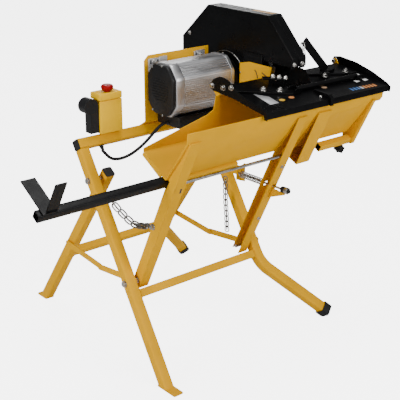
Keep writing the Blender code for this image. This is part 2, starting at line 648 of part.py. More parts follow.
# ---------------------------------------------------------------- rocker: return spring
ROD_R = 0.0035
ROD_FRONT, ROD_REAR = 0.0320, 0.2640
SPRING_Y0, SPRING_Y1 = 0.1480, 0.2490
rod_profile = [(ROD_FRONT, ROD_R), (0.0340, ROD_R), (0.0340, 0.0085), (0.0360, 0.0105), (0.0460, 0.0105),
               (0.0480, 0.0085), (0.0480, ROD_R), (ROD_REAR, ROD_R)]
node("spring_rod", turned("Y", (ROD_X, ROD_Z), rod_profile, 20), ZINC, rocker)
tab_plan = [(LEG_C_X - TUBE / 2 - GAP, 0.484), (LEG_C_X - TUBE / 2 - GAP, 0.546), (ROD_X - 0.015, 0.532),
            (ROD_X - 0.015, 0.498)]
TAB_Y = 0.2500
tab = node("spring_tab", prism(tab_plan, "Y", TAB_Y, TAB_Y + 0.004), YELLOW, machine)
shape(tab, disc("Y", (ROD_X, ROD_Z + 0.003), 0.009, TAB_Y - 0.01, TAB_Y + 0.02, 16))
TAB_ARM_Z = 0.515
shape(tab, box((LEG_C_X - TUBE / 2 - 0.0045, TAB_Y + 0.001, TAB_ARM_Z - 0.016),
               (LEG_C_X - TUBE / 2 - GAP, front_leg_y(TAB_ARM_Z) + 0.008, TAB_ARM_Z + 0.016)), "UNION")
node("return_spring", ring("Y", (ROD_X, ROD_Z), 0.0110, 0.0075, SPRING_Y0, SPRING_Y1, 16), ZINC, rocker)

# ---------------------------------------------------------------- hold-down cover
COVER_T = 0.002
cover_path = [(-0.0385, 0.7850), (-0.0365, 0.8015), (HINGE_Y - 0.012, 0.8360)]
CHEEK_T = 0.0025
plate_ends = (COVER_X0 + CHEEK_T + GAP, COVER_X1 - CHEEK_T - GAP)
plate = node("cover_plate", prism(folded(cover_path, -COVER_T), "X", *plate_ends), BLACK, cover)
shape(plate, box((GUARD_GAP_X0, GUARD_GAP_Y, 0.75), (GUARD_GAP_X1, 0.30, 0.95)))
for x0, x1 in ((COVER_X0, COVER_X0 + 0.009), (COVER_X1 - 0.009, COVER_X1)):
    shape(plate, box((x0, BACK_TOP[0] - 0.008, 0.75), (x1, 0.30, 0.95)))
left_cheek = [(-0.0420, 0.7830), (-0.0420, 0.7990), (-0.0300, 0.8110), (0.0500, 0.8300), (0.0900, 0.8450),
              (0.1120, 0.8640), (0.1350, 0.8730), (0.1600, 0.8730), (0.1850, 0.8620), (0.2010, 0.8450),
              (0.1985, 0.8320), (0.1860, 0.8270), (0.1000, 0.8200), (-0.0300, 0.7960), (-0.0320, 0.7830)]
right_cheek = [(-0.0420, 0.7830), (-0.0440, 0.7990), (-0.0300, 0.8090), (0.0300, 0.8330), (0.1000, 0.8520),
               (0.1700, 0.8600), (0.1950, 0.8560), (0.2020, 0.8430), (0.1960, 0.8310), (0.1000, 0.8220),
               (-0.0300, 0.7960), (-0.0320, 0.7830)]
for cheek_name, outline, x0 in (("cover_cheek_left", left_cheek, COVER_X0),
                                ("cover_cheek_right", right_cheek, COVER_X1 - CHEEK_T)):
    cheek = node(cheek_name, prism(outline, "X", x0, x0 + CHEEK_T), BLACK, cover)
    drill_x(cheek_name, (HINGE_Y, HINGE_Z), PIN_R + GAP, x0 - 0.01, x0 + 0.01)
EAR_T = 0.003
ear_shape = [(BACK_TOP[0] + 0.0010, 0.8170), (BACK_TOP[0] + 0.0030, 0.7900), (0.1950, 0.8340),
             (0.1960, 0.8460), (0.1900, 0.8510), (0.1800, 0.8480)]
for x0, pin in ((COVER_X0 + CHEEK_T + 0.0016, (COVER_X0 - 0.0012, COVER_X0 + 0.0070)),
                (COVER_X1 - CHEEK_T - 0.0016 - EAR_T, (COVER_X1 - 0.0070, COVER_X1 + 0.0012))):
    shape(trough, prism(ear_shape, "X", x0, x0 + EAR_T), "UNION")
    shape(trough, disc("X", (HINGE_Y, HINGE_Z), PIN_R, *pin, 16), "UNION")

# ---------------------------------------------------------------- cover linkage on top of the plate
def cover_top(y):
    """Height of the cover plate's upper face."""
    (y0, z0), (y1, z1) = cover_path[1], cover_path[2]
    return z0 + (y - y0) / (y1 - y0) * (z1 - z0) + COVER_T


def lying_bar(name, start, end, width, thickness):
    """A flat bar with round ends that lies on the cover, from one (x, y) to another."""
    a, b = Vector(start), Vector(end)
    way = (b - a).normalized()
    angle, reach = atan2(way.y, way.x), width / 2
    plan = half_round(a, angle + pi / 2, reach) + half_round(b, angle - pi / 2, reach)
    low = [(p.x, p.y, cover_top(p.y) + 2 * GAP) for p in plan]
    high = [(x, y, z + thickness) for x, y, z in low]
    return node(name, loft([low, high]), BLACK, cover)


lying_bar("cover_bar_left", (0.3300, 0.1340), (0.4800, 0.0480), 0.036, 0.006)
lying_bar("cover_bar_right", (0.6180, 0.1560), (0.7860, 0.0860), 0.028, 0.006)
PUSH_Y = 0.046
PUSH_Z = cover_top(PUSH_Y) + 0.0090
node("push_rod", ring("X", (PUSH_Y, PUSH_Z), 0.0080, 0.0060, 0.5020, 0.7700, 16), BLACK, cover)
strap = [(-0.0470, 0.7840), (-0.0460, 0.8060), (-0.0360, 0.8160), (0.0250, cover_top(0.025) + 0.0070),
         (0.0250, cover_top(0.025) + 0.0006), (-0.0360, cover_top(-0.036) + 0.0010), (-0.0396, 0.8042),
         (-0.0414, 0.7840)]
node("cover_strap", prism(strap, "X", 0.5560, 0.5680), BLACK, cover)

# ---------------------------------------------------------------- motor side: bracket
PLATE_T = 0.004
PLATE_Y = 0.4500
PLATE_TOP = 0.8935
PLATE_X0, PLATE_X1 = 0.2500, 0.5080
foot_z = TOP.z + (TUBE / 2 + GAP - (PLATE_Y - TOP.y) * sin(LEAN)) / cos(LEAN)
foot_end = TOP + UP_LEG * (TUBE / 2 + GAP) + OFF_LEG * 0.0145
plate_path = [(PLATE_Y, PLATE_TOP), (PLATE_Y, foot_z), (foot_end.y, foot_end.z)]
plate_solid = prism(folded(plate_path, -PLATE_T), "X", PLATE_X0, PLATE_X1)
motor_plate = node("motor_plate", plate_solid, YELLOW, machine)
CHAMFER = 0.018
corner_cut = [(PLATE_X0 - 0.002, PLATE_TOP - CHAMFER), (PLATE_X0 + CHAMFER, PLATE_TOP + 0.002),
              (PLATE_X0 - 0.002, PLATE_TOP + 0.002)]
shape(motor_plate, prism(corner_cut, "Y", PLATE_Y - 0.01, PLATE_Y + 0.06))

# ---------------------------------------------------------------- motor
MOTOR_X0, MOTOR_X1 = 0.2550, 0.4990
FLAT_Y, FLAT_Z = 0.0660, 0.0810
SHOULDER_Y, SHOULDER_Z = 0.0340, 0.0420


def casing(shrink=0.0, grooves=0, depth=0.003):
    """The motor's section about its axis: flat sides, sloping shoulders and a flat top and bottom."""
    flat_y, flat_z = FLAT_Y - shrink, FLAT_Z - shrink
    corners = [(flat_y, -SHOULDER_Z), (flat_y, SHOULDER_Z), (SHOULDER_Y, flat_z), (-SHOULDER_Y, flat_z),
               (-flat_y, SHOULDER_Z), (-flat_y, -SHOULDER_Z), (-SHOULDER_Y, -flat_z), (SHOULDER_Y, -flat_z)]
    smooth = rounded(corners, 0.020, 2)
    if not grooves:
        return [(AXIS_Y + a, AXIS_Z + b) for a, b in smooth]
    out = []
    for i, point in enumerate(smooth):
        a, b = Vector(point), Vector(smooth[(i + 1) % len(smooth)])
        out.append(point)
        shoulder = abs((b - a).x) > 0.008 and abs((b - a).y) > 0.008
        if shoulder:
            inward = -(a + b).normalized() * depth
            for g in range(grooves):
                start, end = (g + 0.30) / grooves, (g + 0.70) / grooves
                out += [tuple(a.lerp(b, start)), tuple(a.lerp(b, start + 0.04) + inward),
                        tuple(a.lerp(b, end - 0.04) + inward), tuple(a.lerp(b, end))]
    return [(AXIS_Y + a, AXIS_Z + b) for a, b in out]


HOUSING_X0, HOUSING_X1 = 0.3000, 0.4880
housing = node("motor_housing", prism(casing(grooves=4), "X", HOUSING_X0, HOUSING_X1), ALU, machine)
FOOT_W = 0.030
for x0 in (HOUSING_X0 + 0.004, HOUSING_X1 - 0.002 - FOOT_W):
    low, high = (x0, AXIS_Y + FLAT_Y - 0.003, 0.7150), (x0 + FOOT_W, PLATE_Y - GAP, 0.8850)
    shape(housing, box(low, high), "UNION")
soften(node("motor_end_shield", prism(casing(-0.0015), "X", 0.2680, HOUSING_X0 - GAP), ALU, machine), 0.003)
shield_solid = prism(casing(-0.0015), "X", HOUSING_X1 + GAP, MOTOR_X1)
front_shield = node("motor_front_shield", shield_solid, ALU, machine)
soften(node("fan_cover", prism(casing(0.003), "X", MOTOR_X0, 0.2680 - GAP), PLASTIC, machine), 0.004)
capacitor_solid = box((0.2900, 0.3300, 0.6780), (0.4500, 0.4420, AXIS_Z - FLAT_Z - 0.002))
soften(node("capacitor_box", capacitor_solid, PLASTIC, machine), 0.004)

# ---------------------------------------------------------------- blade on the motor shaft
SHAFT_R = 0.010
FLANGE_R = 0.035
FLANGE_X = BLADE_X - BLADE_T / 2 - GAP
shaft = [(HOUSING_X1 + 0.010, SHAFT_R), (0.5400, SHAFT_R), (0.5400, FLANGE_R), (FLANGE_X, FLANGE_R),
         (FLANGE_X, SHAFT_R), (0.5770, SHAFT_R)]
node("motor_shaft", turned("X", (AXIS_Y, AXIS_Z), shaft, 24), STEEL, arbor)
shape(front_shield, disc("X", (AXIS_Y, AXIS_Z), SHAFT_R + 0.002, HOUSING_X1 + 0.006, MOTOR_X1 + 0.01, 16))


def saw_outline():
    """A circle of hooked teeth with a gullet behind each."""
    out = []
    for i in range(TEETH):
        base = 2 * pi * i / TEETH
        step = 2 * pi / TEETH
        for part, radius in ((0.00, BLADE_R), (0.42, BLADE_R - 0.0050), (0.72, BLADE_R - 0.0120),
                             (0.92, BLADE_R - 0.0095)):
            angle = base + part * step
            out.append((AXIS_Y + radius * cos(angle), AXIS_Z + radius * sin(angle)))
    return out


node("saw_blade", prism(saw_outline(), "X", BLADE_X - BLADE_T / 2, BLADE_X + BLADE_T / 2), STEEL, arbor)
drill_x("saw_blade", (AXIS_Y, AXIS_Z), SHAFT_R + GAP, BLADE_X - 0.01, BLADE_X + 0.01)
outer_flange = disc("X", (AXIS_Y, AXIS_Z), FLANGE_R, BLADE_X + BLADE_T / 2 + GAP, 0.5650)
nut = node("arbor_nut", outer_flange, ZINC, arbor)
NUT_R = 0.0145
hexagon = [(AXIS_Y + NUT_R * hex_reach(a) * cos(a), AXIS_Z + NUT_R * hex_reach(a) * sin(a))
           for a in [pi / 3 * (k + 0.5) for k in range(6)]]
shape(nut, prism(hexagon, "X", 0.5640, 0.5750), "UNION")
drill_x("arbor_nut", (AXIS_Y, AXIS_Z), SHAFT_R + GAP, 0.55, 0.60)

# ---------------------------------------------------------------- guard
GUARD_T = 0.0018
GUARD = [(0.6075, 0.9000), (0.4780, 1.0185), (0.1990, 1.0185), (0.0890, 0.9040), (0.0890, 0.8780),
         (0.3000, 0.8780), (0.3350, 0.8000), (0.3450, 0.6500), (0.3980, 0.5850), (0.5400, 0.5950),
         (0.6075, 0.6700)]
RIM_FREE = {4, 5, 6, 7}                                # first corners of the edges that stay open


def guard_hollow():
    """The guard's outline moved in by the sheet, but run out past its open edges."""
    tight = offset(GUARD, -GUARD_T, closed=True)
    loose = offset(GUARD, 0.02, closed=True)
    out = []
    for i, point in enumerate(tight):
        before_open, after_open = (i - 1) in RIM_FREE, i in RIM_FREE
        if before_open and after_open:
            out.append(loose[i])
        elif after_open:
            run = (Vector(tight[i]) - Vector(tight[i - 1])).normalized()
            out += [point, tuple(Vector(point) + run * 0.03)]
        elif before_open:
            run = (Vector(tight[i]) - Vector(tight[(i + 1) % len(tight)])).normalized()
            out += [tuple(Vector(point) + run * 0.03), point]
        else:
            out.append(point)
    return out


def guard_shell(name, x0, x1, open_low):
    """One half of the guard, a tray of sheet metal that is open towards the blade."""
    shell = node(name, prism(GUARD, "X", x0, x1), BLACK, machine)
    low, high = (x0 - 0.02, x1 - GUARD_T) if open_low else (x0 + GUARD_T, x1 + 0.02)
    shape(shell, prism(guard_hollow(), "X", low, high))
    return shell


left_shell = guard_shell("guard_shell_left", GUARD_X0, BLADE_X - GAP, open_low=False)
guard_shell("guard_shell_right", BLADE_X, GUARD_X1, open_low=True)
HUB_R, DRUM_R = 0.088, 0.066                           # disc at the motor's end, and the drum in front of it
DISC_X = 0.5243
hub = [(MOTOR_X1 + GAP, DRUM_R), (DISC_X, DRUM_R), (DISC_X, HUB_R), (GUARD_X0 + GUARD_T / 2, HUB_R)]
shape(left_shell, turned("X", (AXIS_Y, AXIS_Z), hub, 32), "UNION")
drill_x("guard_shell_left", (AXIS_Y, AXIS_Z), 0.020, MOTOR_X1 - 0.01, GUARD_X0 + 0.01, 24)
SIDE_X0, SIDE_X1 = 0.5200, 0.5235                      # the plate in front of the hub disc
lug = box((SIDE_X1 + GAP, 0.2150, 0.8400), (GUARD_X0 + GUARD_T, 0.2980, 0.8950))
shape(left_shell, lug, "UNION")
side_plate = [(0.3120, 0.7910), (0.3120, 0.8580), (0.2700, 0.8675), (0.1690, 0.8665),
              (0.1780, 0.8370), (0.2280, 0.8140)]
node("guard_side_plate", prism(side_plate, "X", SIDE_X0, SIDE_X1), YELLOW, machine)

# ---------------------------------------------------------------- switch
soften(node("switch_box", box(SWITCH_LOW, SWITCH_HIGH), SIGNAL_YELLOW, machine), 0.004)
inlet = node("plug_inlet", disc("Y", (0.0465, 0.7680), 0.0240, 0.4440, 0.4820, 24), PLASTIC, machine)
shape(inlet, box((0.0440, 0.4480, 0.6830), (SWITCH_LOW[0] - GAP, 0.4780, 0.7680)), "UNION")
flap_solid = box((0.0700, 0.4330, SWITCH_HIGH[2] + 0.0030), (0.1520, 0.4860, 0.8040))
flap = node("stop_flap", flap_solid, SIGNAL_YELLOW, stop_flap)
shape(flap, disc("Z", BUTTON, 0.0085, 0.77, 0.82, 16))
soften(flap, 0.003)
button_profile = [(SWITCH_HIGH[2] + 0.0075, 0.0080), (0.8085, 0.0080), (0.8085, 0.0150), (0.8140, 0.0190),
                  (0.8210, 0.0190), (0.8250, 0.0150)]
node("stop_button", turned("Z", BUTTON, button_profile, 24), RED, stop_button)

# ---------------------------------------------------------------- motor cable
CABLE_R = 0.004
CABLE_EXIT = Vector((0.2855, 0.3850, 0.6900))
bar_face = TOP - UP_LEG * (TUBE / 2 + GAP)
CABLE_ROUTE = [(0.2700, 0.3860, 0.6885), (0.2560, 0.3910, 0.6780), (0.2360, 0.3965, 0.6590),
               (0.2150, 0.4030, 0.6375), (0.1930, 0.4105, 0.6185), (0.1700, 0.4185, 0.6035),
               (0.1470, 0.4260, 0.5945), (0.1240, 0.4325, 0.5925), (0.1040, 0.4385, 0.5990)]


def smooth_route(points, steps):
    """A curve through the route's points (Catmull-Rom)."""
    pts = [Vector(p) for p in points]
    pts = [2 * pts[0] - pts[1]] + pts + [2 * pts[-1] - pts[-2]]
    out = []
    for p0, p1, p2, p3 in zip(pts, pts[1:], pts[2:], pts[3:]):
        for k in range(steps):
            t = k / steps
            out.append(0.5 * (2 * p1 + (p2 - p0) * t + (2 * p0 - 5 * p1 + 4 * p2 - p3) * t * t
                              + (3 * p1 - p0 - 3 * p2 + p3) * t ** 3))
    return out + [pts[-2]]


def cable(name, points, radius, mat, body):
    """A round cord as a bevelled poly curve with filled ends."""
    curve = bpy.data.curves.new(name, "CURVE")
    curve.dimensions = "3D"
    curve.bevel_depth = radius
    curve.bevel_resolution = 2
    curve.use_fill_caps = True
    spline = curve.splines.new("POLY")
    spline.points.add(len(points) - 1)
    for spot, point in zip(spline.points, points):
        spot.co = (*(point - Vector(body["at"])), 1.0)
    curve.materials.append(mat)
    obj = bpy.data.objects.new(name, curve)
    bpy.context.scene.collection.objects.link(obj)
    obj.parent = body


GLAND_LENGTH = 0.010
gland_top = Vector((0.0850, bar_face.y, bar_face.z))
gland_foot = gland_top - UP_LEG * GLAND_LENGTH
cable_start = CABLE_EXIT - X * (GLAND_LENGTH - 0.0045)
route = [cable_start, cable_start - X * 0.004, *[Vector(p) for p in CABLE_ROUTE], gland_foot - UP_LEG * 0.010,
         gland_foot - UP_LEG * 0.005, gland_foot - UP_LEG * GAP]
cable("motor_cable", smooth_route(route, 2), CABLE_R, RUBBER, machine)
node("cable_gland_motor", turned("X", (CABLE_EXIT.y, CABLE_EXIT.z), [(CABLE_EXIT.x + 0.0042, 0.0075),
                                                                     (CABLE_EXIT.x - 0.0052, 0.0055)], 16),
     PLASTIC, machine)
bar_gland = along_line(gland_top, -UP_LEG, [(0.0, 0.0080), (GLAND_LENGTH, 0.0055)], 16)
node("cable_gland_bar", bar_gland, PLASTIC, machine)
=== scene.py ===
"""Looks for the rocking log saw: finishes, bolts, chains, springs, labels, cable, light and camera."""

from math import cos, pi, radians, sin, tau

import bmesh
import bpy
from mathutils import Matrix, Vector


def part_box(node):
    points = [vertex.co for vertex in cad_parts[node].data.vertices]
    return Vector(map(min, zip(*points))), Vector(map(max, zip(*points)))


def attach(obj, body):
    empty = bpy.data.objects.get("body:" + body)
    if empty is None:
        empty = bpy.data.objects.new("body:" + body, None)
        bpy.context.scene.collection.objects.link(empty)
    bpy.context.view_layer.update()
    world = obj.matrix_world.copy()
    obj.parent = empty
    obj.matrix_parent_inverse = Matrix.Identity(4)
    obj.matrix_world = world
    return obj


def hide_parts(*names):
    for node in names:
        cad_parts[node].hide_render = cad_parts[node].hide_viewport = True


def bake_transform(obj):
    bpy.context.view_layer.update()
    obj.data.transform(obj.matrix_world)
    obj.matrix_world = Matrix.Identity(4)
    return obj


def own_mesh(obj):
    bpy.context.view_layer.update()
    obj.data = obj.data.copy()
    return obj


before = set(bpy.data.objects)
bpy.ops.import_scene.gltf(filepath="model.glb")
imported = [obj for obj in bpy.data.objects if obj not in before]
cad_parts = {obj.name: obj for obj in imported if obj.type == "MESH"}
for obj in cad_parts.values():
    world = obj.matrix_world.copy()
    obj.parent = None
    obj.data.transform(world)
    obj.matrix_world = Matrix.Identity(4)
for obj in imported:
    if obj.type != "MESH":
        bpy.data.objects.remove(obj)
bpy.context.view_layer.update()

# Places are in metres from the front left foot: +X along the log, +Y towards the blade, +Z up.
FOOT = Vector(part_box("leg_front_left")[0]) + Vector((0.0005, 0, 0))
X, Y, Z = Vector((1, 0, 0)), Vector((0, 1, 0)), Vector((0, 0, 1))
LEAN = radians(32.07)                        # front legs, from vertical
UP_LEG = Vector((0, sin(LEAN), cos(LEAN)))
OFF_LEG = Vector((0, cos(LEAN), -sin(LEAN)))
REAR_LEAN = radians(35.9)                    # rear legs, from vertical, the other way
BLADE_CENTRE = (0.558, 0.380, 0.798)
COVER_TILT = radians(9.243)                  # the hold-down cover rises towards the blade
ON_COVER = Vector((0, -sin(COVER_TILT), cos(COVER_TILT)))
UP_COVER = Vector((0, cos(COVER_TILT), sin(COVER_TILT)))


def over_cover(x, y, lift=0.0):
    """The point on the cover plate's upper face at x and y, raised by lift."""
    rest = Vector((x, y, 0.8035 + (y + 0.0365) * sin(COVER_TILT) / cos(COVER_TILT)))
    return rest + ON_COVER * lift


# ---------------------------------------------------------------- finishes
def shader(name, colour, roughness, metal=0.0, **sockets):
    """A new material with its Principled shader set, as (material, nodes, links, shader)."""
    made = bpy.data.materials.new(name)
    made.use_nodes = True
    nodes, links = made.node_tree.nodes, made.node_tree.links
    bsdf = nodes["Principled BSDF"]
    bsdf.inputs["Base Color"].default_value = (*colour, 1)
    bsdf.inputs["Roughness"].default_value = roughness
    bsdf.inputs["Metallic"].default_value = metal
    for socket, value in sockets.items():
        bsdf.inputs[socket.replace("_", " ")].default_value = value
    return made, nodes, links, bsdf


def place(nodes, links, stretch=(1, 1, 1)):
    """Object coordinates, stretched."""
    where = nodes.new("ShaderNodeTexCoord")
    mapping = nodes.new("ShaderNodeMapping")
    mapping.inputs["Scale"].default_value = stretch
    links.new(where.outputs["Object"], mapping.inputs["Vector"])
    return mapping.outputs["Vector"]


def noise(nodes, links, vector, scale, detail=2.0):
    """The value of a noise texture."""
    made = nodes.new("ShaderNodeTexNoise")
    made.inputs["Scale"].default_value = scale
    made.inputs["Detail"].default_value = detail
    links.new(vector, made.inputs["Vector"])
    return made.outputs["Fac"]


def spread(nodes, links, value, low, high):
    """A noise value brought from about 0.3 to 0.7 into the range low to high."""
    made = nodes.new("ShaderNodeMapRange")
    for socket, number in (("From Min", 0.3), ("From Max", 0.7), ("To Min", low), ("To Max", high)):
        made.inputs[socket].default_value = number
    links.new(value, made.inputs["Value"])
    return made.outputs["Result"]


def shades(nodes, links, value, dark, light):
    """A colour between dark and light, picked by a noise value."""
    made = nodes.new("ShaderNodeValToRGB")
    low, high = made.color_ramp.elements
    low.position, high.position = 0.3, 0.7
    low.color, high.color = (*dark, 1), (*light, 1)
    links.new(value, made.inputs["Fac"])
    return made.outputs["Color"]


def relief(nodes, links, bsdf, height, depth):
    """A bump map of the given depth on the shader."""
    made = nodes.new("ShaderNodeBump")
    made.inputs["Distance"].default_value = depth
    made.inputs["Strength"].default_value = 1.0
    links.new(height, made.inputs["Height"])
    links.new(made.outputs["Normal"], bsdf.inputs["Normal"])


def finish(name, colour, roughness, metal=0.0, vary=0.08, grain=900.0, depth=0.00004, stretch=(1, 1, 1),
           **sockets):
    """A material with soft patches of shade and gloss and a fine grain."""
    made, nodes, links, bsdf = shader(name, colour, roughness, metal, **sockets)
    vector = place(nodes, links, stretch)
    patches = noise(nodes, links, vector, 9.0, 3.0)
    dark = [c * (1 - vary) for c in colour]
    light = [min(1.0, c * (1 + vary)) for c in colour]
    links.new(shades(nodes, links, patches, dark, light), bsdf.inputs["Base Color"])
    smears = noise(nodes, links, vector, 38.0, 4.0)
    links.new(spread(nodes, links, smears, roughness * 0.82, roughness * 1.2), bsdf.inputs["Roughness"])
    relief(nodes, links, bsdf, noise(nodes, links, vector, grain), depth)
    return made


def turned_steel(name, colour, roughness, centre):
    """Bright steel with fine rings round an axis along X."""
    made, nodes, links, bsdf = shader(name, colour, roughness, 1.0)
    where = nodes.new("ShaderNodeTexCoord")
    moved = nodes.new("ShaderNodeVectorMath")
    moved.operation = "SUBTRACT"
    moved.inputs[1].default_value = FOOT + Vector(centre)
    flat = nodes.new("ShaderNodeVectorMath")
    flat.operation = "MULTIPLY"
    flat.inputs[1].default_value = (0, 1, 1)
    length = nodes.new("ShaderNodeVectorMath")
    length.operation = "LENGTH"
    links.new(where.outputs["Object"], moved.inputs[0])
    links.new(moved.outputs["Vector"], flat.inputs[0])
    links.new(flat.outputs["Vector"], length.inputs[0])
    rings = nodes.new("ShaderNodeTexNoise")
    rings.noise_dimensions = "1D"
    rings.inputs["Scale"].default_value = 1400.0
    links.new(length.outputs["Value"], rings.inputs["W"])
    gloss = spread(nodes, links, rings.outputs["Fac"], roughness * 0.7, roughness * 1.5)
    links.new(gloss, bsdf.inputs["Roughness"])
    relief(nodes, links, bsdf, rings.outputs["Fac"], 0.00003)
    return made


FRAME_YELLOW = (0.700, 0.350, 0.000)
DARK_ZINC = finish("dark_zinc", (0.17, 0.165, 0.155), 0.34, 1.0, vary=0.30, grain=1500)
FINISHES = {
    "yellow_frame": finish("yellow_frame", FRAME_YELLOW, 0.46, vary=0.05, grain=700,
                           Specular_IOR_Level=0.06),
    "yellow_rocker": finish("yellow_rocker", FRAME_YELLOW, 0.44, vary=0.05, grain=700,
                            Specular_IOR_Level=0.06),
    "black_paint": finish("black_paint", (0.0022, 0.0022, 0.0025), 0.32, vary=0.20, grain=600,
                          depth=0.00005, Specular_IOR_Level=0.13),
    "zinc": finish("zinc", (0.40, 0.39, 0.37), 0.28, 1.0, vary=0.25, grain=1500),
    "aluminium": finish("aluminium", (0.56, 0.56, 0.57), 0.40, 1.0, vary=0.10, grain=1300, depth=0.00006,
                        stretch=(0.25, 1, 1)),
    "blade_steel": turned_steel("blade_steel", (0.55, 0.56, 0.58), 0.26, BLADE_CENTRE),
    "black_plastic": finish("black_plastic", (0.0070, 0.0070, 0.0075), 0.44, vary=0.12, grain=1100,
                            depth=0.00006, Specular_IOR_Level=0.25),
    "rubber": finish("rubber", (0.0080, 0.0080, 0.0080), 0.62, vary=0.15, grain=800, depth=0.00008,
                     Specular_IOR_Level=0.25),
    "switch_yellow": finish("switch_yellow", (0.80, 0.46, 0.000), 0.42, vary=0.04, grain=1200,
                            Specular_IOR_Level=0.1),
    "stop_red": finish("stop_red", (0.26, 0.000, 0.001), 0.32, vary=0.06, grain=1200,
                       Specular_IOR_Level=0.15),
}
LABELS = {
    "silver": finish("label_silver", (0.42, 0.42, 0.43), 0.34, vary=0.10, grain=400),
    "white": finish("label_white", (0.72, 0.72, 0.70), 0.42, vary=0.03, grain=400),
    "yellow": finish("label_yellow", (0.62, 0.36, 0.02), 0.42, vary=0.05, grain=400),
    "orange": finish("label_orange", (0.52, 0.20, 0.06), 0.42, vary=0.05, grain=400),
    "tan": finish("label_tan", (0.34, 0.22, 0.13), 0.42, vary=0.08, grain=400),
    "blue": finish("label_blue", (0.05, 0.13, 0.32), 0.42, vary=0.05, grain=400),
    # The dark finish is painted shade: it colours the thin sheets that stand in for the shade inside holes
    # and slots.
    "dark": finish("hole_shade_black", (0.02, 0.02, 0.02), 0.42, vary=0.05, grain=400),
}


# ---------------------------------------------------------------- shapes
def skin(bm, rings, closed=False):
    """Joins rings of points into a solid, with a cap at both ends unless the rings close on themselves."""
    loops = [[bm.verts.new(FOOT + Vector(p)) for p in ring] for ring in rings]
    following = loops[1:] + (loops[:1] if closed else [])
    for low, high in zip(loops, following):
        for i in range(len(low)):
            j = (i + 1) % len(low)
            bm.faces.new((low[i], low[j], high[j], high[i]))
    if not closed:
        bm.faces.new(loops[0][::-1])
        bm.faces.new(loops[-1])


def sides(way):
    """Two directions square to way and to each other."""
    other = Z if abs(way.z) < 0.9 * way.length else X
    first = way.cross(other).normalized()
    return first, way.normalized().cross(first)


def circle(centre, way, radius, count=16, turn=0.0):
    """Points on a circle that is square to way."""
    u, v = sides(way)
    angles = [turn + tau * i / count for i in range(count)]
    return [centre + u * (radius * cos(a)) + v * (radius * sin(a)) for a in angles]


def turned(bm, start, way, profile, count=20, turn=0.0):
    """A body of revolution: profile is [(distance along way, radius), ...]."""
    start, way = Vector(start), Vector(way).normalized()
    skin(bm, [circle(start + way * t, way, r, count, turn) for t, r in profile])


def tube(bm, points, radius, count=10, closed=False, ends=1.0):
    """A round rod along a line of points."""
    points = [Vector(p) for p in points]
    total = len(points)
    rings, u = [], None
    for i, p in enumerate(points):
        before = points[(i - 1) % total] if closed or i else p
        after = points[(i + 1) % total] if closed or i < total - 1 else p
        way = (after - before).normalized()
        u = sides(way)[0] if u is None else (u - way * u.dot(way)).normalized()
        v = way.cross(u)
        r = radius * (ends if not closed and i in (0, total - 1) else 1.0)
        angles = [tau * k / count for k in range(count)]
        rings.append([p + u * (r * cos(a)) + v * (r * sin(a)) for a in angles])
    skin(bm, rings, closed)


def slab(bm, corners, way, thickness):
    """A flat plate: its corners in order, thickened along way."""
    step = Vector(way).normalized() * thickness
    corners = [Vector(c) for c in corners]
    skin(bm, [corners, [c + step for c in corners]])


def brick(bm, centre, u, v, w, size):
    """A box with its half sizes along three directions."""
    centre = Vector(centre)
    a, b, c = (Vector(d).normalized() * (s / 2) for d, s in zip((u, v, w), size))
    corners = [centre - a - b - c, centre + a - b - c, centre + a + b - c, centre - a + b - c]
    slab(bm, corners, c, 2 * c.length)


def bolt(bm, foot, way, across=0.013, head=0.0065, washer=0.0095, stub=0.0):
    """A hexagon head or nut on a washer, with the thread's end if stub is set."""
    foot, way = Vector(foot), Vector(way).normalized()
    turned(bm, foot, way, [(0, washer), (0.0012, washer), (0.0016, washer - 0.0006)], 24)
    r = across / 2 / cos(pi / 6)
    turned(bm, foot + way * 0.0014, way, [(0, r), (head - 0.0010, r), (head, r * 0.90)], 6, turn=0.4)
    if stub:
        thread = [(0, across * 0.27), (stub, across * 0.27), (stub + 0.001, across * 0.2)]
        turned(bm, foot + way * 0.004, way, thread, 12)


def bead(bm, points, radius=0.0022):
    """A weld bead: a lumpy rod along a line."""
    points = [Vector(p) for p in points]
    length = sum((b - a).length for a, b in zip(points, points[1:]))
    count = max(4, int(length / 0.004))
    along = []
    for i in range(count + 1):
        reach = length * i / count
        for a, b in zip(points, points[1:]):
            step = (b - a).length
            if reach <= step + 1e-9:
                along.append(a.lerp(b, reach / step))
                break
            reach -= step
    for a, b in zip(along, along[1:]):
        step = (b - a).length
        lump = [(0, radius * 0.6), (step * 0.5, radius), (step * 0.98, radius * 0.62)]
        turned(bm, a, (b - a).normalized(), lump, 8)


def edges_marked(mesh, angle=0.6):
    """Smooth faces with sharp edges, also where the faces on both sides have their own corners."""
    if "custom_normal" in mesh.attributes:
        mesh.attributes.remove(mesh.attributes["custom_normal"])
    mesh.polygons.foreach_set("use_smooth", [True] * len(mesh.polygons))
    names = [tuple(round(c, 6) for c in v.co) for v in mesh.vertices]
    meeting = {}
    for face in mesh.polygons:
        for a, b in face.edge_keys:
            meeting.setdefault(frozenset((names[a], names[b])), []).append(face.normal)
    sharp = []
    for edge in mesh.edges:
        around = meeting[frozenset(names[v] for v in edge.vertices)]
        flat = len(around) == 2 and around[0].dot(around[1]) > cos(angle)
        sharp.append(not flat)
    kept = mesh.attributes.get("sharp_edge") or mesh.attributes.new("sharp_edge", "BOOLEAN", "EDGE")
    kept.data.foreach_set("value", sharp)


def softened(obj, width, segments=2):
    """Small rounds on the object's sharp edges."""
    weld = obj.modifiers.new("weld", "WELD")
    weld.merge_threshold = 0.00001
    bevel = obj.modifiers.new("rounds", "BEVEL")
    bevel.width = width
    bevel.segments = segments
    bevel.limit_method = "ANGLE"
    bevel.angle_limit = radians(32)
    bevel.use_clamp_overlap = True
    bevel.harden_normals = False


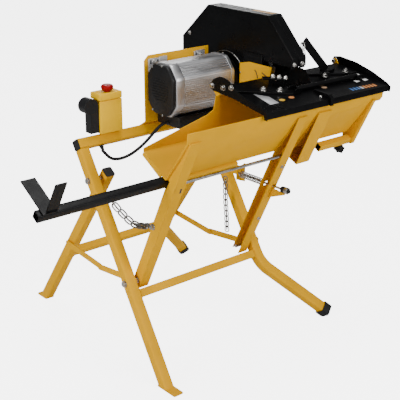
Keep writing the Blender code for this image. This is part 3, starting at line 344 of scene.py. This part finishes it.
def piece(name, build, material, body=None, rounds=0.0004):
    """A new piece: build(bm) adds its shapes, and it is parented to the empty named after the body, if one
    is given.
    """
    bm = bmesh.new()
    build(bm)
    bmesh.ops.recalc_face_normals(bm, faces=bm.faces)
    mesh = bpy.data.meshes.new(name)
    bm.to_mesh(mesh)
    bm.free()
    edges_marked(mesh)
    mesh.materials.append(material)
    made = bpy.data.objects.new(name, mesh)
    bpy.context.scene.collection.objects.link(made)
    if rounds:
        softened(made, rounds)
    if body:
        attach(made, body)
    return made


def parts(name, slot, body, build, rounds=0.0004):
    """A new piece in the finish of a material slot."""
    return piece(name, build, FINISHES[slot], body, rounds)


# ---------------------------------------------------------------- CAD nodes
ROUND = {"trough": 0.0005, "rocker_leg_left": 0.0006, "rocker_leg_right": 0.0006, "guard_shell_left": 0.0007,
         "guard_shell_right": 0.0007, "saw_blade": 0.0002, "motor_shaft": 0.0003, "clamp_knob": 0.0008,
         "motor_housing": 0.0003, "extension_fork": 0.0006}
for node_name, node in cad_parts.items():
    slot_name = node.data.materials[0].name
    edges_marked(node.data)
    node.data.materials[0] = FINISHES[slot_name]
    softened(node, ROUND.get(node_name, 0.0006))


# ---------------------------------------------------------------- stand
TOP = Vector((0, 0.4669, 0.6525))            # middle of the top bar
LEG_FOOT_Y = 0.058                           # where the front legs' middle line meets the ground
FRONT_BAR_Z = 0.243
CORNERS = ((-1, -1), (1, -1), (1, 1), (-1, 1), (-1, -1))


def stand_caps(bm):
    """Plastic cap in the right end of the top bar."""
    start = Vector((0.5255, TOP.y, TOP.z))
    corners = [start + OFF_LEG * (a * 0.0165) + UP_LEG * (b * 0.0165) for a, b in CORNERS[:4]]
    slab(bm, corners, X, 0.0030)


def stand_bolts(bm):
    """The motor's bolts in its plate, and the plate's bolts seen from behind."""
    for x, z in ((0.2840, 0.8720), (0.4670, 0.8720)):
        bolt(bm, (x, 0.4448, z), -Y, 0.010, 0.005, 0.0075, 0.003)
    for x, z in ((0.2840, 0.8720), (0.4670, 0.8720), (0.2800, 0.7200), (0.4770, 0.7200)):
        bolt(bm, (x, 0.4541, z), Y, 0.010, 0.005, 0.008, 0.006)


def stand_welds(bm):
    """Weld beads round the ends of the front crossbar."""
    for x in (0.0340, 0.4945):
        mid = Vector((x, LEG_FOOT_Y + FRONT_BAR_Z * sin(LEAN) / cos(LEAN), FRONT_BAR_Z))
        ring = [mid + OFF_LEG * (a * 0.0135) + UP_LEG * (b * 0.0135) for a, b in CORNERS]
        bead(bm, ring, 0.0016)


def start_collar(bm):
    """Collar of the start button, on the left side of the switch."""
    turned(bm, (0.0748, 0.4620, 0.7560), -X, [(0, 0.0085), (0.0016, 0.0085), (0.0020, 0.0075)], 24)


parts("top_bar_cap_right", "rubber", "stand", stand_caps, 0.0008)
parts("start_collar", "black_plastic", "stand", start_collar)
parts("stand_bolts", "zinc", "stand", stand_bolts)
parts("stand_welds", "yellow_frame", "stand", stand_welds, 0)


# ---------------------------------------------------------------- guard and motor
def guard_rims(bm):
    """Rolled edges down the sloping front and along the roof of both half shells."""
    outline = [(0.6075, 0.9000), (0.4780, 1.0170), (0.1990, 1.0170), (0.0900, 0.9040), (0.0900, 0.8790)]
    for x in (0.5306, 0.5854):
        tube(bm, [(x, y, z) for y, z in outline], 0.0013, 8)
    tube(bm, [(0.5577, y, z) for y, z in outline[1:4]], 0.0011, 8)


def guard_seam(bm):
    """The folded flange where the two half shells meet on the sloping front."""
    a, b = Vector((0.5555, 0.1985, 1.0155)), Vector((0.5555, 0.0915, 0.9045))
    out = X.cross(a - b).normalized()
    if out.y > 0:
        out = -out
    slab(bm, [a, b, b + X * 0.0050, a + X * 0.0050], out, 0.0022)


def hub_rim_highlight(bm):
    """A thin bare zinc ring round the hub disc: a painted highlight, standing in for the shine along the
    disc's rim.
    """
    centre = Vector((0.5243, *BLADE_CENTRE[1:]))
    tube(bm, circle(centre, X, 0.0872, 56), 0.0010, 8, closed=True)


def guard_skirt(bm):
    """The right half shell's lower skirt, and the black plates round the guard's open foot."""
    skirt = [(0.1000, 0.8790), (0.1720, 0.8720), (0.1800, 0.8470), (0.2300, 0.8230), (0.3350, 0.8000),
             (0.3300, 0.8790)]
    slab(bm, [(0.5842, y, z) for y, z in skirt], X, 0.0018)
    foot = [(0.5300, 0.1700), (0.5842, 0.1700), (0.5842, 0.0905), (0.5300, 0.0905)]
    slab(bm, [(x, y, 0.8790) for x, y in foot], -Z, 0.0016)


def guard_bracket(bm):
    """Two small plates at the foot of the guard's front."""
    for x0, x1 in ((0.5205, 0.5400), (0.5560, 0.5790)):
        corners = [(x0, 0.9020), (x1, 0.8930), (x1, 0.8740), (x0, 0.8740)]
        slab(bm, [(x, 0.0886, z) for x, z in corners], -Y, 0.0022)


def guard_bolts(bm):
    """Bolts of the front brackets, round the hub disc and along both half shells."""
    bolt(bm, (0.5340, 0.0862, 0.8865), -Y, 0.009, 0.005, 0.0070)
    bolt(bm, (0.5670, 0.0862, 0.8865), -Y, 0.009, 0.005, 0.0070)
    for angle in (0.35, 1.35, 2.75, 4.3, 5.2):
        y, z = BLADE_CENTRE[1] + 0.0765 * cos(angle), BLADE_CENTRE[2] + 0.0765 * sin(angle)
        bolt(bm, (0.5241, y, z), -X, 0.007, 0.0034, 0.0052)
    both_sides = ((0.5700, 0.9150), (0.5850, 0.7000), (0.4100, 0.6050))
    for y, z in both_sides:
        bolt(bm, (0.5298, y, z), -X, 0.009, 0.004, 0.0070)
    for y, z in (*both_sides, (0.2000, 0.9900), (0.1080, 0.8950)):
        bolt(bm, (0.5862, y, z), X, 0.009, 0.004, 0.0070)


def side_slot_shade(bm):
    """Thin black sheets in the curved slots of the guard's side plate: painted shade, standing for the shade
    inside the slots.
    """
    x = 0.5199
    low = [(0.2420, 0.8470), (0.2345, 0.8400), (0.2300, 0.8300), (0.2290, 0.8220)]
    for line, width in ((low, 0.0020), ([(0.2100, 0.8440), (0.1985, 0.8390), (0.1880, 0.8345)], 0.0018)):
        for (y0, z0), (y1, z1) in zip(line, line[1:]):
            a, b = Vector((x, y0, z0)), Vector((x, y1, z1))
            out = X.cross(b - a).normalized() * width
            slab(bm, [a - out, b - out, b + out, a + out], -X, 0.0003)


def upright(bm, x0, x1, z0, z1, y, thickness):
    """A plate that faces the front, from y towards the back."""
    slab(bm, [(x0, y, z0), (x1, y, z0), (x1, y, z1), (x0, y, z1)], Y, thickness)


def motor_feet(bm):
    """Cast flanges that hold the motor to its plate."""
    for x0 in (0.2620, 0.4450):
        upright(bm, x0, x0 + 0.0440, 0.8420, 0.8830, 0.4450, 0.0048)


def feet_slot_shade(bm):
    """Thin black sheets in the slots of the motor's flanges: painted shade, standing for the shade inside
    the slots.
    """
    for x0 in (0.2620, 0.4450):
        for x1 in (x0 + 0.0060, x0 + 0.0330):
            upright(bm, x1, x1 + 0.0060, 0.8660, 0.8780, 0.4446, 0.0010)


def motor_screws(bm):
    """Round screw heads in the fan cover."""
    for y, z in ((0.3700, 0.8745), (0.3700, 0.7215), (0.4180, 0.8650), (0.4180, 0.7310)):
        turned(bm, (0.2550, y, z), -X, [(0, 0.0036), (0.0014, 0.0036), (0.0022, 0.0026)], 16)


def motor_grill(bm):
    """Bars of the fan's air inlet, inside a circle."""
    for k in range(9):
        z = 0.7660 + 0.0080 * k
        reach = (0.0400 ** 2 - (z - 0.7980) ** 2) ** 0.5
        brick(bm, (0.2540, 0.3800, z), Y, Z, X, (2 * reach, 0.0026, 0.0012))


def motor_ribs(bm):
    """Fine cooling ribs along the flat front side of the motor's housing."""
    for k in range(15):
        z = 0.7560 + 0.0060 * k
        brick(bm, (0.3940, 0.3138, z), X, Z, Y, (0.1870, 0.0016, 0.0012))


parts("motor_ribs", "aluminium", "stand", motor_ribs, 0.0002)
parts("guard_rims", "black_paint", "stand", guard_rims, 0)
# The zinc ring round the hub disc is a painted highlight on its rim.
parts("hub_rim_highlight", "zinc", "stand", hub_rim_highlight, 0)
parts("guard_skirt", "black_paint", "stand", guard_skirt)
parts("guard_seam", "black_paint", "stand", guard_seam)
parts("guard_bracket", "black_paint", "stand", guard_bracket)
parts("guard_bolts", "zinc", "stand", guard_bolts, 0.0003)
# The black sheets in the side plate's slots are painted shade.
piece("side_plate_slot_shade", side_slot_shade, LABELS["dark"], "stand", rounds=0)
parts("motor_feet", "aluminium", "stand", motor_feet)
# The black sheets in the flanges' slots are painted shade.
piece("feet_slot_shade", feet_slot_shade, LABELS["dark"], "stand", rounds=0)
parts("motor_screws", "zinc", "stand", motor_screws, 0.0003)
parts("motor_grill", "black_plastic", "stand", motor_grill, 0.0003)


def printed(name, colour, low, high):
    """Black paint with a plain printed rectangle between two corners."""
    made = FINISHES["black_paint"].copy()
    made.name = name
    nodes, links = made.node_tree.nodes, made.node_tree.links
    base = nodes["Principled BSDF"].inputs["Base Color"]
    under = base.links[0].from_socket
    where = nodes.new("ShaderNodeTexCoord")
    axes = nodes.new("ShaderNodeSeparateXYZ")
    links.new(where.outputs["Object"], axes.inputs["Vector"])
    inside = None
    for axis, (a, b) in zip("XYZ", zip(FOOT + Vector(low), FOOT + Vector(high))):
        near = nodes.new("ShaderNodeMath")
        near.operation = "COMPARE"
        near.inputs[1].default_value = (a + b) / 2
        near.inputs[2].default_value = (b - a) / 2
        links.new(axes.outputs[axis], near.inputs[0])
        if inside is None:
            inside = near.outputs["Value"]
            continue
        both = nodes.new("ShaderNodeMath")
        both.operation = "MULTIPLY"
        links.new(inside, both.inputs[0])
        links.new(near.outputs["Value"], both.inputs[1])
        inside = both.outputs["Value"]
    mix = nodes.new("ShaderNodeMix")
    mix.data_type = "RGBA"
    links.new(inside, mix.inputs[0])
    links.new(under, mix.inputs[6])
    mix.inputs[7].default_value = (*colour, 1)
    links.new(mix.outputs[2], base)
    return made


roof_paint = printed("roof_paint", (0.50, 0.27, 0.08), (0.5600, 0.2140, 1.0150), (0.5840, 0.3050, 1.0200))
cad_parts["guard_shell_right"].data.materials[0] = roof_paint


# ---------------------------------------------------------------- rear frame
UP_REAR = Vector((0, -sin(REAR_LEAN), cos(REAR_LEAN)))
OFF_REAR = Vector((0, cos(REAR_LEAN), sin(REAR_LEAN)))


def rear_cap(bm):
    """Plastic cap on the upper end of the right rear leg."""
    top = Vector((0.4645, 0.3954, 0.5695)) + UP_REAR * 0.0175
    corners = [top + X * (a * 0.0162) + OFF_REAR * (b * 0.0162) for a, b in CORNERS[:4]]
    slab(bm, corners, UP_REAR, 0.0028)


def rear_welds(bm):
    """Weld beads round the ends of the rear crossbar."""
    for x in (0.0815, 0.4470):
        mid = Vector((x, 0.6466, 0.2230))
        ring = [mid + OFF_REAR * (a * 0.0135) + UP_REAR * (b * 0.0135) for a, b in CORNERS]
        bead(bm, ring, 0.0016)


parts("rear_leg_cap_right", "rubber", "rear_frame", rear_cap, 0.0008)
parts("rear_welds", "yellow_frame", "rear_frame", rear_welds, 0)


# ---------------------------------------------------------------- rocker
def return_coil(bm):
    """The return spring round its rod."""
    turns, count = 13, 220
    start, end, reach = 0.1495, 0.2475, 0.0097
    line = []
    for i in range(count + 1):
        t = i / count
        a = tau * turns * t
        line.append((0.474 + reach * cos(a), start + (end - start) * t, 0.5150 + reach * sin(a)))
    tube(bm, line, 0.0015, 8)


spring = parts("return_coil", "zinc", "rocker", return_coil, 0)
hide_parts("return_spring")
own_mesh(spring)


def buffer_end(bm):
    """Rubber buffer and dark nut on the front end of the spring's rod."""
    buffer = [(0, 0.0085), (0.0020, 0.0100), (0.0240, 0.0100), (0.0260, 0.0085)]
    turned(bm, (0.474, 0.0360, 0.5150), Y, buffer, 24)
    turned(bm, (0.474, 0.0300, 0.5150), Y, [(0, 0.0070), (0.0010, 0.0078), (0.0058, 0.0078)], 6)


parts("rod_buffer", "rubber", "rocker", buffer_end)


def buffer_gusset(bm):
    """Bracket between the right rocker leg and the rubber buffer."""
    outline = [(0.1180, 0.4720), (0.0480, 0.4990), (0.0480, 0.5035), (0.0640, 0.5040), (0.0800, 0.5065),
               (0.1010, 0.5065)]
    slab(bm, [(0.4728, y, z) for y, z in outline], X, 0.0025)


parts("buffer_gusset", "yellow_rocker", "rocker", buffer_gusset)


def rocker_bolts(bm):
    """Bolts on the right rocker leg's front flange, and the nut on the left leg's pivot."""
    flange = Vector((0, -0.8966, -0.4430))
    for y, z in ((0.0611, 0.5887), (0.1584, 0.3918)):
        bolt(bm, (0.4700, y, z), flange, 0.008, 0.004, 0.0060)
    bolt(bm, (0.0450, 0.2321, 0.2780), -X, 0.013, 0.005, 0.0095)


parts("rocker_bolts", "zinc", "rocker", rocker_bolts)


def rocker_hole_shade(bm):
    """Holes in the rocker legs, as thin dark plates: painted shade, standing for the shade inside the holes.
    """
    for y, z in ((0.1477, 0.5216), (0.2055, 0.4104)):
        turned(bm, (0.4836, y, z), -X, [(0, 0.0038), (0.0004, 0.0038)], 16)
    mark = [(0.0500, 0.0340, 0.6080), (0.0560, 0.0340, 0.6080), (0.0560, 0.0280, 0.6230),
            (0.0500, 0.0280, 0.6230)]
    slab(bm, mark, -Y, 0.0006)


# The dark plates in the rocker legs are painted shade for their holes.
piece("rocker_hole_shade", rocker_hole_shade, LABELS["dark"], "rocker", rounds=0)


# ---------------------------------------------------------------- cover
def cover_bolts(bm):
    """Bolts of the linkage on the cover plate, and of its cheeks."""
    for x, y in ((0.408, 0.087), (0.452, 0.062), (0.674, 0.092), (0.632, 0.150), (0.770, 0.093)):
        bolt(bm, over_cover(x, y, 0.0068), ON_COVER, 0.013, 0.0065, 0.0100, 0.007)
    for x, y in ((0.482, 0.1260), (0.495, 0.1130), (0.509, 0.1000)):
        bolt(bm, over_cover(x, y, 0.0230), ON_COVER, 0.011, 0.0055, 0.0085, 0.004)
    bolt(bm, over_cover(0.546, -0.0145, 0.0003), ON_COVER, 0.007, 0.003, 0.0050)
    bolt(bm, (0.8270, 0.1875, 0.8420), -X, 0.013, 0.0100, 0.0115)
    for y, z in ((0.1889, 0.8420), (0.1402, 0.8436), (0.1057, 0.8501)):
        bolt(bm, (0.3018, y, z), -X, 0.012, 0.0060, 0.0090)


def cover_links(bm):
    """The linkage that lies over the cover plate: upper bars, posts and clevises."""
    for a, b, lift, width in (((0.448, 0.135), (0.511, 0.097), 0.0190, 0.0200),
                              ((0.612, 0.128), (0.700, 0.100), 0.0100, 0.0200)):
        p, q = over_cover(*a, lift), over_cover(*b, lift)
        along = (q - p).normalized()
        out = ON_COVER.cross(along) * (width / 2)
        slab(bm, [p - out, q - out, q + out, p + out], ON_COVER, 0.0040)
    for x, y in ((0.470, 0.121), (0.506, 0.100)):
        turned(bm, over_cover(x, y, 0.0003), ON_COVER, [(0, 0.006), (0.0190, 0.006)], 16)
    for x0, x1 in ((0.4840, 0.5090), (0.7560, 0.7800)):
        for y in (0.0330, 0.0590):
            middle = over_cover((x0 + x1) / 2, y, 0.0090)
            brick(bm, middle, X, UP_COVER, ON_COVER, (x1 - x0, 0.0040, 0.0170))
    brick(bm, over_cover(0.7300, 0.1240, 0.0080), X, UP_COVER, ON_COVER, (0.0200, 0.0240, 0.0150))


def gap_walls(bm):
    """Folded edges of the cover plate along the gap for the blade guard."""
    far = [(0.0700, 0.8190), (0.0700, 0.7620), (0.1560, 0.7560), (0.2500, 0.7700), (0.2500, 0.8300),
           (0.2360, 0.8560), (0.1500, 0.8660), (0.1000, 0.8600)]
    slab(bm, [(0.5975, y, z) for y, z in far], X, 0.0018)
    near = [(0.0700, 0.8190), (0.0700, 0.7950), (0.1500, 0.8050), (0.1740, 0.8340)]
    slab(bm, [(0.5135, y, z) for y, z in near], X, 0.0018)


def lever(bm):
    """The flat hand lever that holds the cover down."""
    foot, top = Vector((0.7060, 0.1140, 0.8420)), Vector((0.6070, 0.1180, 0.9460))
    along = (top - foot).normalized()
    out = along.cross(Y).normalized() * 0.0135
    slab(bm, [foot - out, foot + out, top + out, top - out], Y, 0.0040)
    brick(bm, foot + Vector((0.004, 0.004, -0.004)), X, UP_COVER, ON_COVER, (0.0340, 0.0240, 0.0110))


parts("cover_bolts", "zinc", "cover", cover_bolts)
parts("cover_links", "black_paint", "cover", cover_links, 0.0006)
parts("gap_walls", "black_paint", "cover", gap_walls)
parts("cover_lever", "black_paint", "cover", lever, 0.0006)


def sticker(name, corners, material):
    """A thin plain label on the cover plate."""
    def build(bm):
        slab(bm, [over_cover(x, y, 0.0001) for x, y in corners], ON_COVER, 0.00035)
    piece(name, build, LABELS[material], "cover", rounds=0)


def around(x, y, a, b):
    """The corners of a rectangle with half sides a and b."""
    return [(x - a, y - b), (x + a, y - b), (x + a, y + b), (x - a, y + b)]


sticker("cover_label", [(0.371, 0.088), (0.401, 0.053), (0.395, 0.006), (0.361, 0.006)], "silver")
SIGN_R = 0.0075
SIGNS = ((0.419, 0.018, "yellow"), (0.460, 0.021, "orange"), (0.614, 0.036, "tan"))
for k, (x, y, material) in enumerate(SIGNS):
    ring = [(x + SIGN_R * 1.3 * cos(tau * i / 20), y + SIGN_R * sin(tau * i / 20)) for i in range(20)]
    sticker(f"cover_sign_{k}", ring, material)
for k, (x, y) in enumerate(((0.801, 0.072), (0.755, 0.030), (0.791, 0.028))):
    sticker(f"cover_icon_{k}", around(x, y, 0.0085, 0.0065), "white")
for k in range(8):
    material = "blue" if k < 3 else "silver" if k < 4 else "orange"
    sticker(f"cover_scale_{k}", around(0.684 + 0.0140 * k, -0.0125 - 0.0007 * k, 0.0045, 0.009), material)


# ---------------------------------------------------------------- chains
def link(bm, middle, along, across, pitch, wire):
    """One oval chain link: its straight sides lie along the chain."""
    half, reach = pitch / 2 - wire * 0.2, wire * 1.75
    line = []
    for i in range(20):
        a = tau * i / 20
        shift = half - reach + wire if cos(a) > 1e-9 else -(half - reach + wire) if cos(a) < -1e-9 else 0
        line.append(middle + along * (shift + reach * cos(a)) + across * (reach * sin(a)))
    tube(bm, line, wire / 2, 8, closed=True)


def hanging(points, steps=24):
    """A smooth line through the points."""
    points = [Vector(p) for p in points]
    ends = [points[0] * 2 - points[1]] + points + [points[-1] * 2 - points[-2]]
    line = []
    for p0, p1, p2, p3 in zip(ends, ends[1:], ends[2:], ends[3:]):
        for i in range(steps):
            t = i / steps
            line.append(0.5 * (2 * p1 + (p2 - p0) * t + (2 * p0 - 5 * p1 + 4 * p2 - p3) * t * t
                               + (3 * p1 - p0 - 3 * p2 + p3) * t ** 3))
    return line + [points[-1]]


def chain(points, pitch, wire):
    """A builder of links of one pitch along a hanging line, each turned a quarter from the last."""
    def build(bm):
        line = hanging(points)
        total = sum((b - a).length for a, b in zip(line, line[1:]))
        count = round(total / pitch)
        marks, reach, goal = [], 0.0, 0.0
        for a, b in zip(line, line[1:]):
            step = (b - a).length
            while goal <= reach + step + 1e-9 and len(marks) <= count:
                marks.append(a.lerp(b, (goal - reach) / step))
                goal += total / count
            reach += step
        for i, (a, b) in enumerate(zip(marks, marks[1:])):
            along = (b - a).normalized()
            u, v = sides(along)
            across = (u + v).normalized() if i % 2 else (u - v).normalized()
            link(bm, (a + b) / 2, along, across, (b - a).length + wire * 1.6, wire)
    return build


SAFETY_LINE = [(0.0345, 0.3361, 0.5016), (0.040, 0.3089, 0.4811), (0.045, 0.2413, 0.4558),
               (0.0390, 0.1560, 0.4760)]
FOLD_LINE = [(0.4430, 0.2875, 0.4981), (0.4560, 0.3000, 0.4200), (0.4740, 0.3140, 0.3450),
             (0.4870, 0.3260, 0.2920)]
LEVER_LINE = [(0.5960, 0.1150, 0.9380), (0.5930, 0.1090, 0.9180), (0.5920, 0.1020, 0.8950)]
left_chain = parts("safety_chain", "zinc", None, chain(SAFETY_LINE, 0.0150, 0.0050), 0)
left_chain.data.materials[0] = DARK_ZINC
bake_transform(left_chain)
fold_chain = parts("fold_chain", "zinc", "stand", chain(FOLD_LINE, 0.0115, 0.0036), 0)
fold_chain.data.materials[0] = DARK_ZINC
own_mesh(fold_chain)
parts("lever_chain", "zinc", "cover", chain(LEVER_LINE, 0.0120, 0.0030), 0)


def chain_bolt(bm):
    """The bolt that holds the safety chain to the left rocker leg."""
    bolt(bm, (0.0438, 0.1484, 0.4759), -X, 0.013, 0.007, 0.0100, 0.006)


parts("chain_bolt", "zinc", "rocker", chain_bolt)


# ---------------------------------------------------------------- motor cable
CABLE_EXIT = Vector((0.2855, 0.3850, 0.6900))
bar_face = TOP - UP_LEG * 0.0168
gland_top = Vector((0.0850, bar_face.y, bar_face.z))
gland_foot = gland_top - UP_LEG * 0.010
route = [CABLE_EXIT - X * 0.0055, (0.2700, 0.3860, 0.6885), (0.2560, 0.3910, 0.6780),
         (0.2360, 0.3965, 0.6590), (0.2150, 0.4030, 0.6375), (0.1930, 0.4105, 0.6185),
         (0.1700, 0.4185, 0.6035), (0.1470, 0.4260, 0.5945), (0.1240, 0.4325, 0.5925),
         (0.1040, 0.4385, 0.5990), gland_foot - UP_LEG * 0.010, gland_foot - UP_LEG * 0.005,
         gland_foot - UP_LEG * 0.0003]
cable_line = hanging(route, 6)
CABLE_R = 0.0050
cable = parts("cable", "rubber", "stand", lambda bm: tube(bm, cable_line, CABLE_R, 16), 0)
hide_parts("motor_cable")


# ---------------------------------------------------------------- floor, light and camera
def plain(name, colour, strength):
    """A surface that glows evenly."""
    made, _, _, bsdf = shader(name, colour, 0.9)
    bsdf.inputs["Emission Color"].default_value = (1, 1, 1, 1)
    bsdf.inputs["Emission Strength"].default_value = strength
    return made


def ground(bm):
    """A wide flat slab just under the feet."""
    slab(bm, [(-30, -30, -0.02), (30, -30, -0.02), (30, 30, -0.02), (-30, 30, -0.02)], Z, 0.0199)


floor = piece("floor", ground, plain("floor", (0.7, 0.7, 0.7), 5.0), rounds=0)
wall = piece("wall", lambda bm: bmesh.ops.create_uvsphere(bm, u_segments=48, v_segments=24, radius=60),
             plain("wall", (0.0, 0.0, 0.0), 6.3), rounds=0)
wall.visible_diffuse = wall.visible_glossy = wall.visible_shadow = False
glowing = bpy.data.collections.new("glowing")           # the floor and wall light only each other
for surface in (floor, wall):
    glowing.objects.link(surface)
    surface.light_linking.receiver_collection = glowing

world = bpy.data.worlds.new("studio")
world.use_nodes = True
world.node_tree.nodes["Background"].inputs["Color"].default_value = (1.0, 1.0, 1.0, 1)
world.node_tree.nodes["Background"].inputs["Strength"].default_value = 0.22
bpy.context.scene.world = world


def lamp(name, place_at, target, size, power):
    """A rectangular lamp that points at the target."""
    data = bpy.data.lights.new(name, "AREA")
    data.shape = "RECTANGLE"
    data.size, data.size_y = size
    data.energy = power
    made = bpy.data.objects.new(name, data)
    bpy.context.scene.collection.objects.link(made)
    made.location = place_at
    made.rotation_euler = (Vector(target) - Vector(place_at)).to_track_quat("-Z", "Y").to_euler()


lamp("left", (-3.2, -0.6, 1.5), (0, 0, 0.6), (1.6, 1.6), 95)
lamp("front", (0.6, -3.4, 1.9), (0, 0, 0.5), (2.0, 1.4), 92)
lamp("top", (0.2, -0.2, 3.4), (0, 0, 0.6), (1.4, 1.4), 55)
lamp("rear", (2.8, 3.6, 2.3), (0, 0, 0.9), (1.6, 0.5), 20)

camera_data = bpy.data.cameras.new("camera")
camera_data.lens = 85.12
camera_data.sensor_width = 36
camera_data.clip_end = 200
camera = bpy.data.objects.new("camera", camera_data)
bpy.context.scene.collection.objects.link(camera)
yaw, pitch = radians(39.96), radians(20.59)
forward = Vector((sin(yaw) * cos(pitch), cos(yaw) * cos(pitch), -sin(pitch)))
right = Vector((cos(yaw), -sin(yaw), 0))
turn = Matrix((right, right.cross(forward), -forward)).transposed().to_4x4()
camera.matrix_world = Matrix.Translation(FOOT + Vector((-1.4625, -1.86, 1.5))) @ turn
bpy.context.scene.camera = camera
